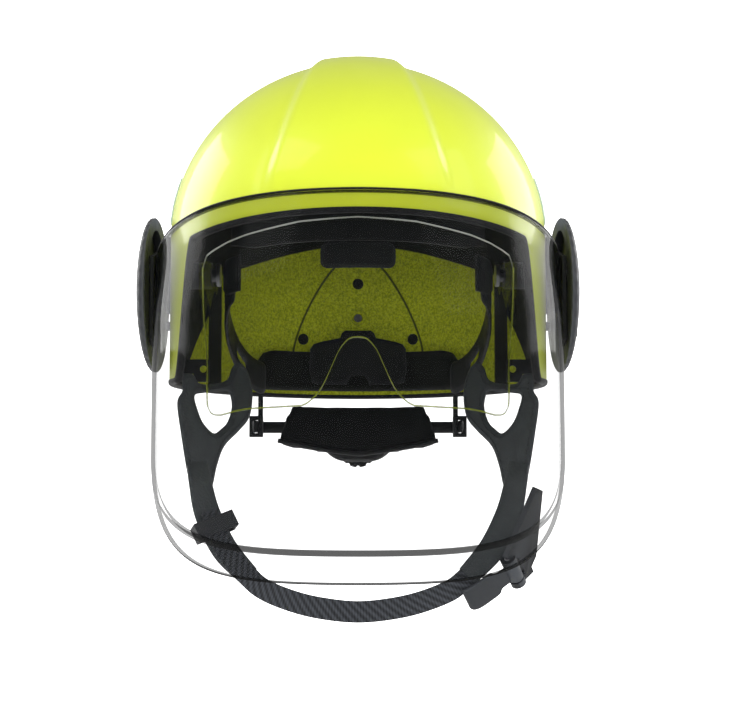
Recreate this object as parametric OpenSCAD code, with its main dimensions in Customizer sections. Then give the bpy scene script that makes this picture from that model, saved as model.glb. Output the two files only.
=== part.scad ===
// Firefighter helmet, lengths in millimetres.
// Origin: midway between the two side discs, where a head's ear line would be.
// The front faces -Y, +Z is up and +X is the wearer's left.

/* [Shell] */
// half of the shell's outside width at the ear line
shell_half_w = 116; // [100:1:135]
// from the dome's middle to the brow edge
shell_front = 133; // [115:1:150]
// from the dome's middle to the back
shell_rear = 143; // [125:1:160]
// dome's middle, behind the ear line
shell_mid_y = 5; // [0:1:12]
// height where the upright wall turns into the dome
dome_z = 32; // [24:1:40]
// dome's rise above that height
dome_h = 110; // [100:1:130]
// shell wall
shell_wall = 3.5; // [2.5:0.1:5]
// brow edge height at the centre
brim_z = 30.5; // [26:0.5:31]
// how far the brow edge droops on its way to the temple
brim_drop = 6; // [2:0.5:10]
// drop from the temple to the side's lower edge
side_drop = 79; // [60:1:95]
// plan angle from the front where the edge starts to drop
temple_from = 54; // [50:1:58]
// plan angle where it's down
temple_to = 66; // [62:1:72]
// height of the raised crest
crest_h = 3.5; // [1:0.5:6]
// crest half-width on the crown
crest_top_w = 22; // [15:1:30]
// crest half-width at the brow
crest_brow_w = 52; // [40:1:60]
// edge trim depth
trim_h = 3; // [2:0.5:5]

/* [Outer visor] */
// visor pivot, forward of the ear line
pivot_fwd = 3; // [0:0.5:6]
// visor pivot height
pivot_z = 12; // [8:0.5:14]
// room from the shell's side to the visor's outside face
side_room = 6; // [5.8:0.1:9]
// how much of the visor's round plan its flat sides cut off
side_flat = 1.5; // [1:0.1:2.5]
// how much further forward the visor reaches than the shell
visor_room = 10; // [8:0.5:16]
// visor wall
visor_wall = 2.5; // [2:0.1:4]
// top edge height at the centre
visor_top_z = 36; // [33:0.5:42]
// fall of the top edge from the front to the pivots
visor_dip = 28; // [10:1:34]
// crease height at the centre
visor_crease_z = -146; // [-155:1:-130]
// lower edge height at the centre
visor_low_z = -162; // [-172:1:-156]
// lower rear corner, behind the ear line
visor_corner_y = -45; // [-60:1:-35]
// lower rear corner height
visor_corner_z = -102; // [-115:1:-90]

/* [Inner visor] */
// inner visor wall
lens_wall = 2.3; // [1.8:0.1:3]
// room between the lens and the shell's brow, at the centre
lens_gap = 3; // [2:0.2:5]
// extra room at the lens's sides
lens_side_gap = 2.2; // [1:0.2:4]
// lens edge's distance inside the shell's inner face
lens_inset = 24.5; // [23:0.5:30]
// inner arm thickness
inner_arm_t = 2; // [1.6:0.1:2.4]

/* [Side discs] */
// disc cover radius
disc_r = 48; // [40:1:50]
// how far the cover's face stands outside the visor
cover_depth = 11; // [9:0.5:18]
// bearing plate radius
base_r = 24; // [18:1:26]
// bearing plate thickness
base_t = 2.3; // [1.5:0.1:2.6]
// pivot shaft radius
shaft_r = 4; // [3:0.1:5]
// running clearance round the shaft
shaft_play = 0.05; // [0.03:0.01:0.09]
// visor arm thickness
arm_t = 2.5; // [2:0.1:3]
// side clearance between parts that pass each other
pass_gap = 0.4; // [0.3:0.05:0.8]

/* [Lining] */
// impact liner thickness
liner_t = 21.5; // [15:0.5:24]
// crown liner's lower edge above the dome's base
liner_rise = 26; // [24:1:34]
// depth of the pocket that the inner visor rises into
pocket_d = 14; // [13:0.5:16]
// thin air gap between layers
layer_gap = 0.4; // [0.3:0.1:1]
// brow band's distance inside the shell's outer face
band_in = 27; // [25:0.5:30]
// brow band thickness
band_t = 2.9; // [2:0.1:4]
// room between the liner and the crown straps
strap_lift = 1.6; // [1.4:0.1:3]
// crown pad thickness
crown_pad_t = 7; // [4:0.5:10]
// brow pad thickness
pad_t = 7.5; // [5:0.5:10]
// side band's distance inside the shell's outer face
side_in = 33; // [32.8:0.1:34]
// side band thickness
side_t = 2.5; // [1.5:0.1:3]

/* [Nape] */
// nape pad half-width at its top
nape_half_w = 53; // [44:1:56]
// nape pad top
nape_top_z = -67; // [-72:1:-64]
// nape pad height
nape_h = 32; // [26:1:36]
// nape pad's front face, behind the ear line
nape_y = 74; // [68:1:80]
// ratchet knob radius
knob_r = 14; // [11:0.5:17]
// rail half-spacing
rail_x = 66; // [60:1:70]
// rail height
rail_h = 8; // [6:0.5:10]

/* [Straps] */
// webbing thickness
strap_t = 2; // [1.5:0.1:3]
// chin strap width
strap_w = 12; // [9:1:16]
// chin strap's dip below the yokes' ends
chin_dip = 18; // [12:0.5:26]
// height of the yokes' ends
yoke_end_z = -167.5; // [-180:0.5:-160]
// yokes' turn towards the nape
yoke_turn = 31; // [20:1:36]
// yokes' lean under the jaw
yoke_lean = 11.5; // [8:0.5:18]
// yokes' distance inside the shell's outside face
yoke_inset = 14; // [14:0.5:20]
// leather yoke thickness
yoke_t = 2.4; // [1.8:0.1:3.5]

/* [Hidden] */
$fn = 96;
pivot_y = -pivot_fwd;
shell_half_in = shell_half_w - shell_wall;
visor_side_x = shell_half_w + side_room;
visor_half_w = visor_side_x + side_flat;
visor_reach = shell_front + visor_room;
lens_half_w = shell_half_in - lens_inset;
disc_face_x = visor_side_x + cover_depth;
liner_low_z = dome_z + liner_rise;
side_low_z = brim_z - brim_drop - side_drop;
chin_z = yoke_end_z - chin_dip;
yoke_x = shell_half_w - yoke_inset;
brow_y = shell_mid_y - shell_front;
back_y = shell_mid_y + shell_rear;
liner_in = shell_wall + layer_gap;
arm_x = visor_side_x;
cover_x = arm_x + arm_t + pass_gap;
arm_in_x = lens_half_w;
bush_x = arm_in_x + inner_arm_t + pass_gap;
rail_z = nape_top_z - 14;
rail_t = 2.5;
guide_y = 46;
guide_len = 12;
chin_end = yoke_x - 50;
// how far the strap lies in front of the tongue that it doubles over
strap_off = -3;
boss_depth = 6;
boss_screw_r = 3;
// side play of the buckle's lever, its hinge height on the plate, its angle at rest and how far
// its hinge is skewed from the plate
clip_gap = 0.3;
clip_axis = -25;
clip_rest = 12;
clip_skew = 32;
barrel_half = 6;
barrel_r = 4.5;
plate_half = 10;
pin_r = 2;
bolt_head_t = 2.5;
columns = concat([for (i = [0:7]) i * temple_from / 8],
  [for (i = [0:7]) temple_from + i * (temple_to + 2 - temple_from) / 8],
  [for (i = [0:15]) temple_to + 2 + i * (178 - temple_to) / 16], [180]);
ring = concat(columns, [for (i = [len(columns) - 2:-1:1]) -columns[i]]);
band_z = 18;
band_h = 28;

function ramp(a, b, v) = let(u = min(max((v - a) / (b - a), 0), 1)) u * u * (3 - 2 * u);
function span(a, b, n) = [for (i = [0:n]) a + (b - a) * i / n];
function reach(a) = cos(a) > 0 ? shell_front : shell_rear;
// a point on the shell's plan outline, d inside its outer face
function wall_at(a, d, z) =
  [(shell_half_w - d) * sin(a), shell_mid_y - (reach(a) - d) * cos(a), z];
function dome_at(a, t, d) = [(shell_half_w - d) * sin(a) * cos(t),
  shell_mid_y - (reach(a) - d) * cos(a) * cos(t), dome_z + (dome_h - d) * sin(t)];
function edge_z(a) = let(p = abs(a)) brim_z
  - brim_drop * pow(min(p, temple_from) / temple_from, 2)
  - side_drop * ramp(temple_from, temple_to, p) - 2.5 * ramp(temple_to, 180, p);
function crest_w(p) = crest_top_w
  + (crest_brow_w - crest_top_w) * (dome_z + dome_h - p[2]) / dome_h;
function crest(p, t) = crest_h * ramp(0, 14, t)
  * (1 - ramp(crest_w(p) - 5, crest_w(p) + 4, abs(p[0])));

// closed solid through a list of sections with equal point counts; paired closes the ends of a
// thin curved section with a row of quads
module loft(sections, closed = false, paired = false) {
  k = len(sections[0]);
  n = len(sections);
  points = [for (s = sections) each s];
  walls = [for (i = [0:n - (closed ? 1 : 2)]) for (j = [0:k - 1])
    let(a = i * k, b = ((i + 1) % n) * k, m = (j + 1) % k)
    each [[a + j, b + m, a + m], [a + j, b + j, b + m]]];
  last = (n - 1) * k;
  ends = closed ? [] : paired
    ? [for (j = [0:k / 2 - 2]) each [[j, j + 1, k - 2 - j, k - 1 - j],
      [last + k - 1 - j, last + k - 2 - j, last + j + 1, last + j]]]
    : [[for (j = [0:k - 1]) j], [for (j = [k - 1:-1:0]) last + j]];
  polyhedron(points = points, faces = concat(walls, ends), convexity = 6);
}

// closed dome through rows of an outer and an inner skin, each row a ring, with one top point each
module dome(outer, inner, outer_top, inner_top) {
  n = len(outer[0]);
  r = len(outer);
  points = concat([for (row = outer) each row], [for (row = inner) each row],
    [outer_top, inner_top]);
  skin = [for (i = [0:r - 2]) for (j = [0:n - 1])
    let(a = i * n + j, b = i * n + (j + 1) % n)
    each [[a, a + n, b + n], [a, b + n, b]]];
  lining = [for (f = skin) [f[2] + r * n, f[1] + r * n, f[0] + r * n]];
  rim = [for (j = [0:n - 1]) let(m = (j + 1) % n)
    each [[j, m, m + r * n], [j, m + r * n, j + r * n]]];
  top = (r - 1) * n;
  caps = [for (j = [0:n - 1]) let(m = (j + 1) % n)
    each [[top + j, 2 * r * n, top + m],
    [top + m + r * n, 2 * r * n + 1, top + j + r * n]]];
  polyhedron(points = points, faces = concat(skin, lining, rim, caps), convexity = 8);
}

// upright band between two depths inside the shell, from one plan angle to another
function band(a, near, deep, low, high) = [wall_at(a, near, low), wall_at(a, deep, low),
  wall_at(a, deep, high), wall_at(a, near, high)];

function unit(v) = v / norm(v);

// strap through centre points, each with its half-width vector
module ribbon(path, thick) {
  n = len(path) - 1;
  loft([for (i = [0:n]) let(p = path[i][0], w = path[i][1],
    along = path[min(i + 1, n)][0] - path[max(i - 1, 0)][0],
    out = unit(cross(along, w)) * thick / 2)
    [p + w + out, p - w + out, p - w - out, p + w - out]]);
}

module along_x(x0, x1, r, y = 0, z = 0) {
  translate([x0, y, z])
    rotate([0, 90, 0])
      cylinder(r = r, h = x1 - x0);
}

module plate_x(x0, x1) {
  translate([x0, 0, 0])
    rotate([90, 0, 90])
      linear_extrude(x1 - x0)
        children();
}

module on_right() {
  mirror([1, 0, 0])
    children();
}

module outer_shell() {
  low_rows = [for (i = [0:4]) [for (a = ring) let(z = edge_z(a) + (dome_z - edge_z(a)) * i / 5)
    wall_at(a, 0, z)]];
  low_in = [for (i = [0:4]) [for (a = ring) let(z = edge_z(a) + (dome_z - edge_z(a)) * i / 5)
    wall_at(a, shell_wall, z)]];
  tilts = span(0, 81, 9);
  high_rows = [for (t = tilts) [for (a = ring) dome_at(a, t, -crest(dome_at(a, t, 0), t))]];
  high_in = [for (t = tilts) [for (a = ring) dome_at(a, t, shell_wall)]];
  color([0.76, 0.83, 0.1])
    difference() {
      dome(concat(low_rows, high_rows), concat(low_in, high_in),
        [0, shell_mid_y, dome_z + dome_h + crest_h],
        [0, shell_mid_y, dome_z + dome_h - shell_wall]);
      along_x(-shell_half_w - 5, -shell_half_w + 15, shaft_r + shaft_play, pivot_y, pivot_z);
      along_x(shell_half_w - 15, shell_half_w + 5, shaft_r + shaft_play, pivot_y, pivot_z);
    }
}

// the trim hangs square to the edge, so it keeps its depth where the edge is steep
function trim_at(a, d) = let(step = 0.5, size = (shell_half_w + shell_front) / 2 * PI / 180,
  slope = (edge_z(abs(a) + step) - edge_z(abs(a) - step)) / (2 * step * size),
  run = sqrt(1 + slope * slope), side = a < 0 ? -1 : 1)
  wall_at(side * (abs(a) + trim_h * slope / run / size), d, edge_z(a) - trim_h / run);

module shell_edge_trim() {
  color([0.07, 0.07, 0.07])
    loft([for (a = ring) [wall_at(a, 0, edge_z(a)), trim_at(a, -0.6), trim_at(a, shell_wall + 0.6),
      wall_at(a, shell_wall, edge_z(a))]], closed = true);
}

module reflective_strip_left() {
  angles = span(76, 98, 10);
  color([0.86, 0.9, 0.94])
    loft([for (t = span(5, 21, 8)) concat([for (a = angles) dome_at(a, t, -1.3)],
      [for (i = [len(angles) - 1:-1:0]) dome_at(angles[i], t, -0.4)])], paired = true);
}

module impact_liner() {
  first = asin((liner_low_z - dome_z) / (dome_h - liner_in));
  tilts = concat(span(first, 58, 5), [64, 70, 76, 83]);
  angles = [for (i = [0:2:len(ring) - 1]) ring[i]];
  color([0.16, 0.16, 0.17])
    dome([for (t = tilts) [for (a = angles) dome_at(a, t, liner_in
        + pocket_d * (1 - ramp(70, 86, abs(a))) * (1 - ramp(60, 68, t)))]],
      [for (t = tilts) [for (a = angles) dome_at(a, t, liner_in + liner_t)]],
      [0, shell_mid_y, dome_z + dome_h - liner_in],
      [0, shell_mid_y, dome_z + dome_h - liner_in - liner_t]);
}

module crown_strap_long() {
  near = liner_in + liner_t + strap_lift;
  color([0.1, 0.1, 0.1])
    loft([for (t = span(18, 162, 14)) let(a = t < 90 ? 0 : 180, lift = t < 90 ? t : 180 - t,
      p = dome_at(a, lift, near), q = dome_at(a, lift, near + strap_t))
      [[-12, p[1], p[2]], [12, p[1], p[2]], [12, q[1], q[2]], [-12, q[1], q[2]]]]);
}

module crown_strap_cross() {
  near = liner_in + liner_t + 2 * strap_lift + strap_t;
  color([0.1, 0.1, 0.1])
    loft([for (t = span(22, 158, 14)) let(a = t < 90 ? 90 : -90, lift = t < 90 ? t : 180 - t,
      p = dome_at(a, lift, near), q = dome_at(a, lift, near + strap_t))
      [[p[0], shell_mid_y - 12, p[2]], [p[0], shell_mid_y + 12, p[2]],
      [q[0], shell_mid_y + 12, q[2]], [q[0], shell_mid_y - 12, q[2]]]]);
}

module crown_pad() {
  near = liner_in + liner_t + 3 * strap_lift + 2 * strap_t;
  tilts = [68, 74, 80, 85];
  angles = span(0, 350, 35);
  color([0.12, 0.12, 0.13])
    dome([for (t = tilts) [for (a = angles) dome_at(a, t, near)]],
      [for (t = tilts) [for (a = angles) dome_at(a, t, near + crown_pad_t)]],
      [0, shell_mid_y, dome_z + dome_h - near], [0, shell_mid_y, dome_z + dome_h - near - crown_pad_t]);
}

module brow_band() {
  color([0.08, 0.08, 0.08])
    loft([for (a = span(-56, 56, 24)) band(a, band_in, band_in + band_t, band_z,
      band_z + band_h)]);
}

module brow_tab() {
  near = band_in + band_t + layer_gap;
  color([0.09, 0.09, 0.09])
    loft([for (a = span(-14, 14, 8)) band(a, near, near + 1.6, 3 + 3 * ramp(10, 14, abs(a)),
      band_z - layer_gap)]);
}

module brow_pad() {
  near = band_in + band_t + layer_gap;
  color([0.1, 0.1, 0.1])
    loft([for (a = span(-53, 53, 24)) band(a, near, near + pad_t, band_z, band_z + band_h - 2)]);
}

module temple_bracket_left() {
  near = band_in + band_t + layer_gap;
  color([0.1, 0.1, 0.1])
    loft([for (a = span(54, 71, 4)) band(a, near, side_in - layer_gap, -4, 17)]);
}

function side_mid_z(a) = 2 - 50 * ramp(62, 130, a);

module side_band_left() {
  color([0.1, 0.1, 0.1])
    loft([for (a = span(63, 130, 14)) band(a, side_in, side_in + side_t, side_mid_z(a) - 11,
      side_mid_z(a) + 11)]);
}

module rear_liner() {
  near = shell_wall + layer_gap;
  color([0.08, 0.08, 0.08])
    loft([for (a = span(128, 232, 26)) band(a, near, near + 16, -56,
      -24 - 22 * ramp(36, 50, abs(a - 180)))]);
}

module rear_plate() {
  near = shell_wall + 16 + 2 * layer_gap;
  color([0.09, 0.09, 0.09])
    loft([for (a = concat([164, 165], span(173.4, 186.6, 4), [195, 196]))
      let(off = abs(a - 180)) band(a, near, near + 3, -50, off < 7 ? -10.4 : off < 15.5 ? -17 : -21)]);
}

module rivet(a, z) {
  p = wall_at(a, shell_wall + 2.6, z);
  translate(p)
    rotate([90, 0, atan2(p[0], shell_mid_y - p[1])])
      cylinder(r1 = 4, r2 = 3, h = 2);
}

module rear_rivets() {
  color([0.08, 0.08, 0.08]) {
    rivet(180, 26);
    rivet(159, -16);
    rivet(201, -16);
  }
}

module on_boss() {
  translate([0, back_y - shell_wall - boss_depth - layer_gap, 0])
    rotate([-90, 0, 0])
      children();
}

module rear_boss() {
  color([0.15, 0.15, 0.15])
    on_boss()
      difference() {
        cylinder(r = 5, h = boss_depth);
        translate([0, 0, -1])
          cylinder(r = boss_screw_r + 0.1, h = boss_depth);
      }
}

module boss_screw() {
  color([0.3, 0.3, 0.31])
    on_boss()
      difference() {
        translate([0, 0, 1.2])
          cylinder(r = boss_screw_r, h = boss_depth - 2.2);
        translate([0, 0, 0.2])
          cylinder(r = 1.3, h = 2, $fn = 6);
      }
}

module side_housing_left() {
  base_x = shell_half_w + pass_gap;
  color([0.12, 0.13, 0.14])
    difference() {
      along_x(base_x, base_x + base_t, base_r, pivot_y, pivot_z);
      along_x(base_x - 1, base_x + base_t + 1, shaft_r + shaft_play, pivot_y, pivot_z);
    }
}

// pegs behind the visor's path hold the cover off the shell
module cover_pegs() {
  for (place = [[38, 6], [35, -16], [29, 26]])
    along_x(shell_half_w * sqrt(1 - pow((place[0] - shell_mid_y) / shell_rear, 2)) + pass_gap,
      cover_x + 1, 3, place[0], place[1]);
}

module side_cover_left() {
  bevel = 3;
  face = disc_face_x - cover_x;
  color([0.18, 0.19, 0.2])
    union() {
      difference() {
        translate([cover_x, 0, 0])
          rotate([90, 0, 90])
            rotate_extrude()
              polygon([[0, 0], [disc_r, 0], [disc_r, 2.2], [disc_r - 0.8, 3.4],
                [disc_r - bevel, 4.6], [disc_r - 8, 6], [disc_r - 14, 7.2], [disc_r - 21, face - 0.2],
                [disc_r - 24, face], [0, face]]);
        along_x(cover_x - 1, cover_x + 4.5, disc_r - 20, pivot_y, pivot_z);
        along_x(cover_x, disc_face_x + 1, shaft_r + shaft_play, pivot_y, pivot_z);
      }
      cover_pegs();
    }
}

module side_cover_right() {
  on_right()
    side_cover_left();
}

module pivot_bush_left() {
  color([0.5, 0.5, 0.52])
    difference() {
      along_x(bush_x, shell_half_in - 1.2, shaft_r + 4.5, pivot_y, pivot_z);
      along_x(bush_x - 1, shell_half_in + 1, shaft_r + shaft_play, pivot_y, pivot_z);
    }
}

module pivot_bolt_right() {
  color([0.6, 0.6, 0.62])
    on_right() {
      along_x(arm_in_x - pass_gap - bolt_head_t, arm_in_x - pass_gap, shaft_r + 3, pivot_y, pivot_z);
      along_x(arm_in_x - pass_gap - 1, cover_x + 4, shaft_r, pivot_y, pivot_z);
      along_x(cover_x, cover_x + 4, shaft_r + 4, pivot_y, pivot_z);
    }
}

module inner_visor_shaft() {
  color([0.6, 0.6, 0.62]) {
    along_x(arm_in_x - pass_gap - bolt_head_t, arm_in_x - pass_gap, shaft_r + 3, pivot_y, pivot_z);
    along_x(arm_in_x - pass_gap - 1, disc_face_x + pass_gap, shaft_r, pivot_y, pivot_z);
  }
}

module inner_visor_lever() {
  lever_x = disc_face_x + pass_gap;
  color([0.05, 0.05, 0.05])
    union() {
      along_x(lever_x, lever_x + 2, 7, pivot_y, pivot_z);
      plate_x(lever_x, lever_x + 2)
        polygon([[pivot_y - 6, pivot_z - 2], [-7, -26], [-2, -27], [3, -26],
          [pivot_y + 6, pivot_z - 2]]);
    }
}

module strap_anchor_left() {
  anchor_x = shell_half_w - 24;
  anchor_z = side_low_z + 0.5;
  color([0.12, 0.12, 0.12])
    difference() {
      union() {
        translate([anchor_x, -1, anchor_z])
          cube([10, 2, 14]);
        translate([anchor_x + 9, -1, anchor_z + 5])
          cube([shell_half_in - anchor_x - 9.6, 2, 9]);
      }
      translate([anchor_x + 4, 2, anchor_z + 8])
        rotate([90, 0, 0])
          cylinder(r = 2.2, h = 4);
    }
}

// leather yoke: a flat fork, v runs back and w runs up from the front branch's top, with a
// tongue that turns in under the jaw
yoke_tongue = [[[yoke_x - 10, -41, yoke_end_z + 53.5], [-5.2, 8.6, 0.5]],
  [[yoke_x - 15, -46.5, yoke_end_z + 35.5], [-6.2, 5.6, 2.2]],
  [[yoke_x - 25.5, -51.5, yoke_end_z + 15.5], [-6, 2, 4.2]],
  [[yoke_x - 40, -54.5, yoke_end_z], [-4.4, 0.5, 4.4]]];
// where the tongue grows out of the fork
yoke_root = [[yoke_x - 7, -33.9, yoke_end_z + 63.7], [-4.6, 7.8, 0.9]];

module yoke_left() {
  color([0.21, 0.21, 0.22])
    union() {
      translate([yoke_x, -29, side_low_z + 2.5])
        rotate([0, yoke_lean, 0])
          rotate([0, 0, yoke_turn])
            rotate([90, 0, 90])
              linear_extrude(yoke_t)
                difference() {
                  polygon([[-3, 1], [-5, -8], [-12, -15], [-14, -34], [-15, -54], [-14, -68],
                    [-8, -71], [4, -68], [13, -56], [24, -45], [42, -37], [56, -29], [64, -14],
                    [63, 0], [56, 6], [48, 3], [41, -4], [28, -6], [12, -5], [7, 1]]);
                  polygon([[5, -12], [6, -26], [16, -36], [32, -31], [41, -20], [39, -12]]);
                }
      ribbon(concat([yoke_root], yoke_tongue), yoke_t);
    }
}

module yoke_right() {
  on_right()
    yoke_left();
}

adjuster_along = unit(yoke_tongue[2][0] - yoke_tongue[1][0]);
adjuster_mid = yoke_tongue[1][0] + 9.5 * adjuster_along;
adjuster_wide = unit(yoke_tongue[1][1] + yoke_tongue[2][1]);
adjuster_across = unit(adjuster_wide - (adjuster_wide * adjuster_along) * adjuster_along);
adjuster_out = cross(adjuster_along, adjuster_across);

// places a part at p with its x along a, its y along b and its z square to both
function square_to(p, a, b) = let(c = cross(a, b)) [[a[0], b[0], c[0], p[0]],
  [a[1], b[1], c[1], p[1]], [a[2], b[2], c[2], p[2]], [0, 0, 0, 1]];

// slotted block that sets the strap's length, round the tongue on the wearer's right
module strap_adjuster() {
  color([0.08, 0.08, 0.08])
    on_right()
      multmatrix(square_to(adjuster_mid - 0.9 * adjuster_out, adjuster_out, adjuster_across))
        difference() {
          cube([10.4, 25, 10], center = true);
          cube([8, 21.4, 12], center = true);
        }
}

// half of the chin strap, from the middle of the chin up to its end
strap_half = [[[0, -67.4, chin_z], [0, 0, strap_w / 2]],
  [[chin_end * 0.35, -67, chin_z + 1.6], [-0.7, 0, strap_w / 2]],
  [[chin_end * 0.67, -65, chin_z + 5], [-1.6, 0, strap_w / 2 - 0.2]],
  [[chin_end, -60.5, chin_z + 11], [-2.6, -0.2, strap_w / 2 - 0.6]]];
// where the strap is sewn to the end of the other tongue
strap_sewn = [[chin_end + 10, -57.1, chin_z + 18.2], [-4.1, -0.3, 4.2]];

function tongue_out(i) = let(n = len(yoke_tongue) - 1,
  along = yoke_tongue[min(i + 1, n)][0] - yoke_tongue[max(i - 1, 0)][0])
  unit(cross(along, yoke_tongue[i][1])) * strap_off;
function right_of(v) = [-v[0], v[1], v[2]];

module chin_strap() {
  chin = [for (p = strap_half) [right_of(p[0]), -right_of(p[1])]];
  left = concat([[strap_sewn[0], -strap_sewn[1]]],
    [for (i = [len(strap_half) - 1:-1:1]) [strap_half[i][0], -strap_half[i][1]]]);
  up = [for (i = [3:-1:1]) [right_of(yoke_tongue[i][0] + tongue_out(i)),
    -right_of(unit(yoke_tongue[i][1]) * strap_w / 2)]];
  color([0.2, 0.2, 0.21])
    ribbon(concat(left, chin, up), strap_t);
}

module buckle_frame() {
  translate([yoke_x - 4, -58, yoke_end_z + 26.5])
    rotate([0, 24, 0])
      rotate([0, 0, -50])
        children();
}

module hinge_frame() {
  buckle_frame()
    translate([0, 0, clip_axis])
      rotate([-clip_skew, 0, 0])
        children();
}

module across(y0, y1, r) {
  translate([0, y0, 0])
    rotate([-90, 0, 0])
      cylinder(r = r, h = y1 - y0);
}

module buckle_plate() {
  color([0.09, 0.09, 0.1])
    difference() {
      union() {
        buckle_frame()
          translate([-2, -11, clip_axis + 5])
            cube([4, 22, 43]);
        hinge_frame()
          translate([-2, -plate_half, -1])
            cube([4, 2 * plate_half, 12]);
        hinge_frame()
          across(-plate_half, -barrel_half, barrel_r);
        hinge_frame()
          across(barrel_half, plate_half, barrel_r);
      }
      hinge_frame()
        across(-12, 12, pin_r);
      hinge_frame()
        translate([-6, -barrel_half - clip_gap, -5])
          cube([12, 2 * (barrel_half + clip_gap), 10.5]);
    }
}

module buckle_pin() {
  color([0.6, 0.6, 0.62])
    hinge_frame()
      across(-plate_half - 0.5, plate_half + 0.5, pin_r);
}

module buckle_clip() {
  color([0.2, 0.21, 0.22])
    hinge_frame()
      difference() {
        union() {
          across(-barrel_half, barrel_half, barrel_r);
          rotate([0, clip_rest, 0]) {
            translate([-1.5, -5.6, -12])
              cube([3, 11.2, 9]);
            translate([-1.5, -8.5, -29])
              cube([3, 17, 18]);
            translate([-3.8, -8.5, -31])
              cube([5.3, 17, 3]);
          }
        }
        across(-12, 12, pin_r + 0.06);
      }
}

// visor plan: a squared oval round the pivot, with flattened sides
function visor_xy(p, inset, n = 2.3) = let(sx = pow(abs(sin(p)), 2 / n),
  x = min((visor_half_w - inset) * sx, visor_side_x - inset),
  y = pivot_y - (visor_reach - inset) * pow(abs(cos(p)), 2 / n)) [p < 0 ? -x : x, y];
function visor_top(y) = visor_top_z
  - visor_dip * pow(max(y - pivot_y + visor_reach, 0) / visor_reach, 1.7);
function visor_share(y) = max(y + 150, 0) / (visor_corner_y + 150);
function visor_crease(y) = visor_crease_z
  + (visor_corner_z - visor_crease_z) * pow(visor_share(y), 1.8);
function visor_low(y) = visor_low_z + (visor_corner_z - visor_low_z) * pow(visor_share(y), 1.9);
// the plan is rounder along the top edge
function visor_square(t) = 1.95 + 0.35 * ramp(0, 0.35, t);
// last plan angle at a given share of the height
function visor_end(t) = let(y = -14 + (visor_corner_y + 14) * t)
  acos(pow((pivot_y - y) / visor_reach, visor_square(t) / 2));
function visor_bulge(z) = 1 + 0.035 * (1 - pow((z + 55) / 92, 2));
function visor_at(s, t, inset) = let(q = visor_xy(s * visor_end(t), 0, visor_square(t)),
  p = visor_xy(s * visor_end(t), inset, visor_square(t)), top = visor_top(q[1]), z = top
  + (visor_crease(q[1]) - top) * t, g = visor_bulge(z)) [p[0], pivot_y + (p[1] - pivot_y)
  * (1 + (g - 1) * pow(abs((p[1] - pivot_y) / visor_reach), 0.5)), z];
function visor_lip(s, inset) = let(p = visor_at(s, 1, inset), q = visor_at(s, 1, 0),
  drop = visor_crease(q[1]) - visor_low(q[1])) [p[0], p[1] + drop * 0.44, p[2] - drop];

module outer_visor() {
  rows = span(0, 1, 11);
  sides = span(-1, 1, 44);
  color([0.9, 0.93, 0.92])
    loft([for (s = sides) concat([for (t = rows) visor_at(s, t, 0)],
      [visor_lip(s, 0) - [0, 0, 0.6]],
      [visor_lip(s, visor_wall) - [0, 0, 0.6]],
      [for (i = [len(rows) - 1:-1:0]) visor_at(s, rows[i], visor_wall)])]);
}

module visor_top_seal() {
  color([0.05, 0.05, 0.05])
    loft([for (s = span(-0.86, 0.86, 38)) let(p = visor_at(s, 0, 0), q = visor_at(s, 0, visor_wall))
      [q + [0, 0, layer_gap], q + [0, 0, 1.6], p + [0, 0, 1.6], p + [0, 0, layer_gap]]]);
}

module visor_arm_left() {
  color([0.1, 0.1, 0.1])
    difference() {
      union() {
        along_x(arm_x, arm_x + arm_t, 16, pivot_y, pivot_z);
        plate_x(arm_x, arm_x + arm_t)
          polygon([[pivot_y, pivot_z + 16], [-32, 20], [-32, -30], [-24, -34],
            [pivot_y + 6, pivot_z - 14]]);
      }
      along_x(arm_x - 1, arm_x + arm_t + 1, shaft_r + shaft_play, pivot_y, pivot_z);
    }
}

// distance of the lens from the pivot line, kept inside the shell's brow as it swings up
function lens_r(x, z) = let(s = x / lens_half_w,
  y = shell_mid_y - (shell_front - shell_wall) * sqrt(1 - pow(x / shell_half_in, 2)))
  norm([pivot_y - y, dome_z - pivot_z]) - lens_gap - lens_side_gap * s * s
  + 26 * pow(s, 4) * ramp(-35, -80, z);
function lens_at(x, z, inset) =
  [x, pivot_y - sqrt(pow(lens_r(x, z) - inset, 2) - pow(z - pivot_z, 2)), z];
lens_low = [[0, -36], [3, -36], [7, -38.5], [11, -44], [15, -53], [19, -61], [25, -68],
  [31, -71.5], [61, -72.5], [lens_half_w - 8, -76], [lens_half_w - 2, -75], [lens_half_w, -70]];
lens_top = [[0, 27], [31, 25.5], [61, 21], [lens_half_w - 10, 17], [lens_half_w - 6, 11],
  [lens_half_w, 9]];

module inner_visor() {
  half = [3, 9, 15, 21, 31, 46, 61, lens_half_w - 10, lens_half_w];
  xs = concat([for (i = [len(half) - 1:-1:0]) -half[i]], half);
  rows = span(0, 1, 5);
  color([0.93, 0.94, 0.9])
    loft([for (x = xs) let(low = lookup(abs(x), lens_low), top = lookup(abs(x), lens_top))
      concat([for (t = rows) lens_at(x, top + (low - top) * t, 0)],
      [for (i = [len(rows) - 1:-1:0]) lens_at(x, top + (low - top) * rows[i], lens_wall)])]);
}

module inner_arm_left() {
  color([0.85, 0.86, 0.84])
    difference() {
      union() {
        along_x(arm_in_x, arm_in_x + inner_arm_t, 12, pivot_y, pivot_z);
        plate_x(arm_in_x, arm_in_x + inner_arm_t)
          translate([pivot_y, pivot_z])
            polygon([[0, 12], [-30, 9], [-69, -3], [-66, -22], [-61, -33], [-54, -42],
              [-46, -38], [-30, -24], [-8, -9]]);
      }
      along_x(arm_in_x - 1, arm_in_x + inner_arm_t + 1, shaft_r + shaft_play, pivot_y, pivot_z);
    }
}

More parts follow.
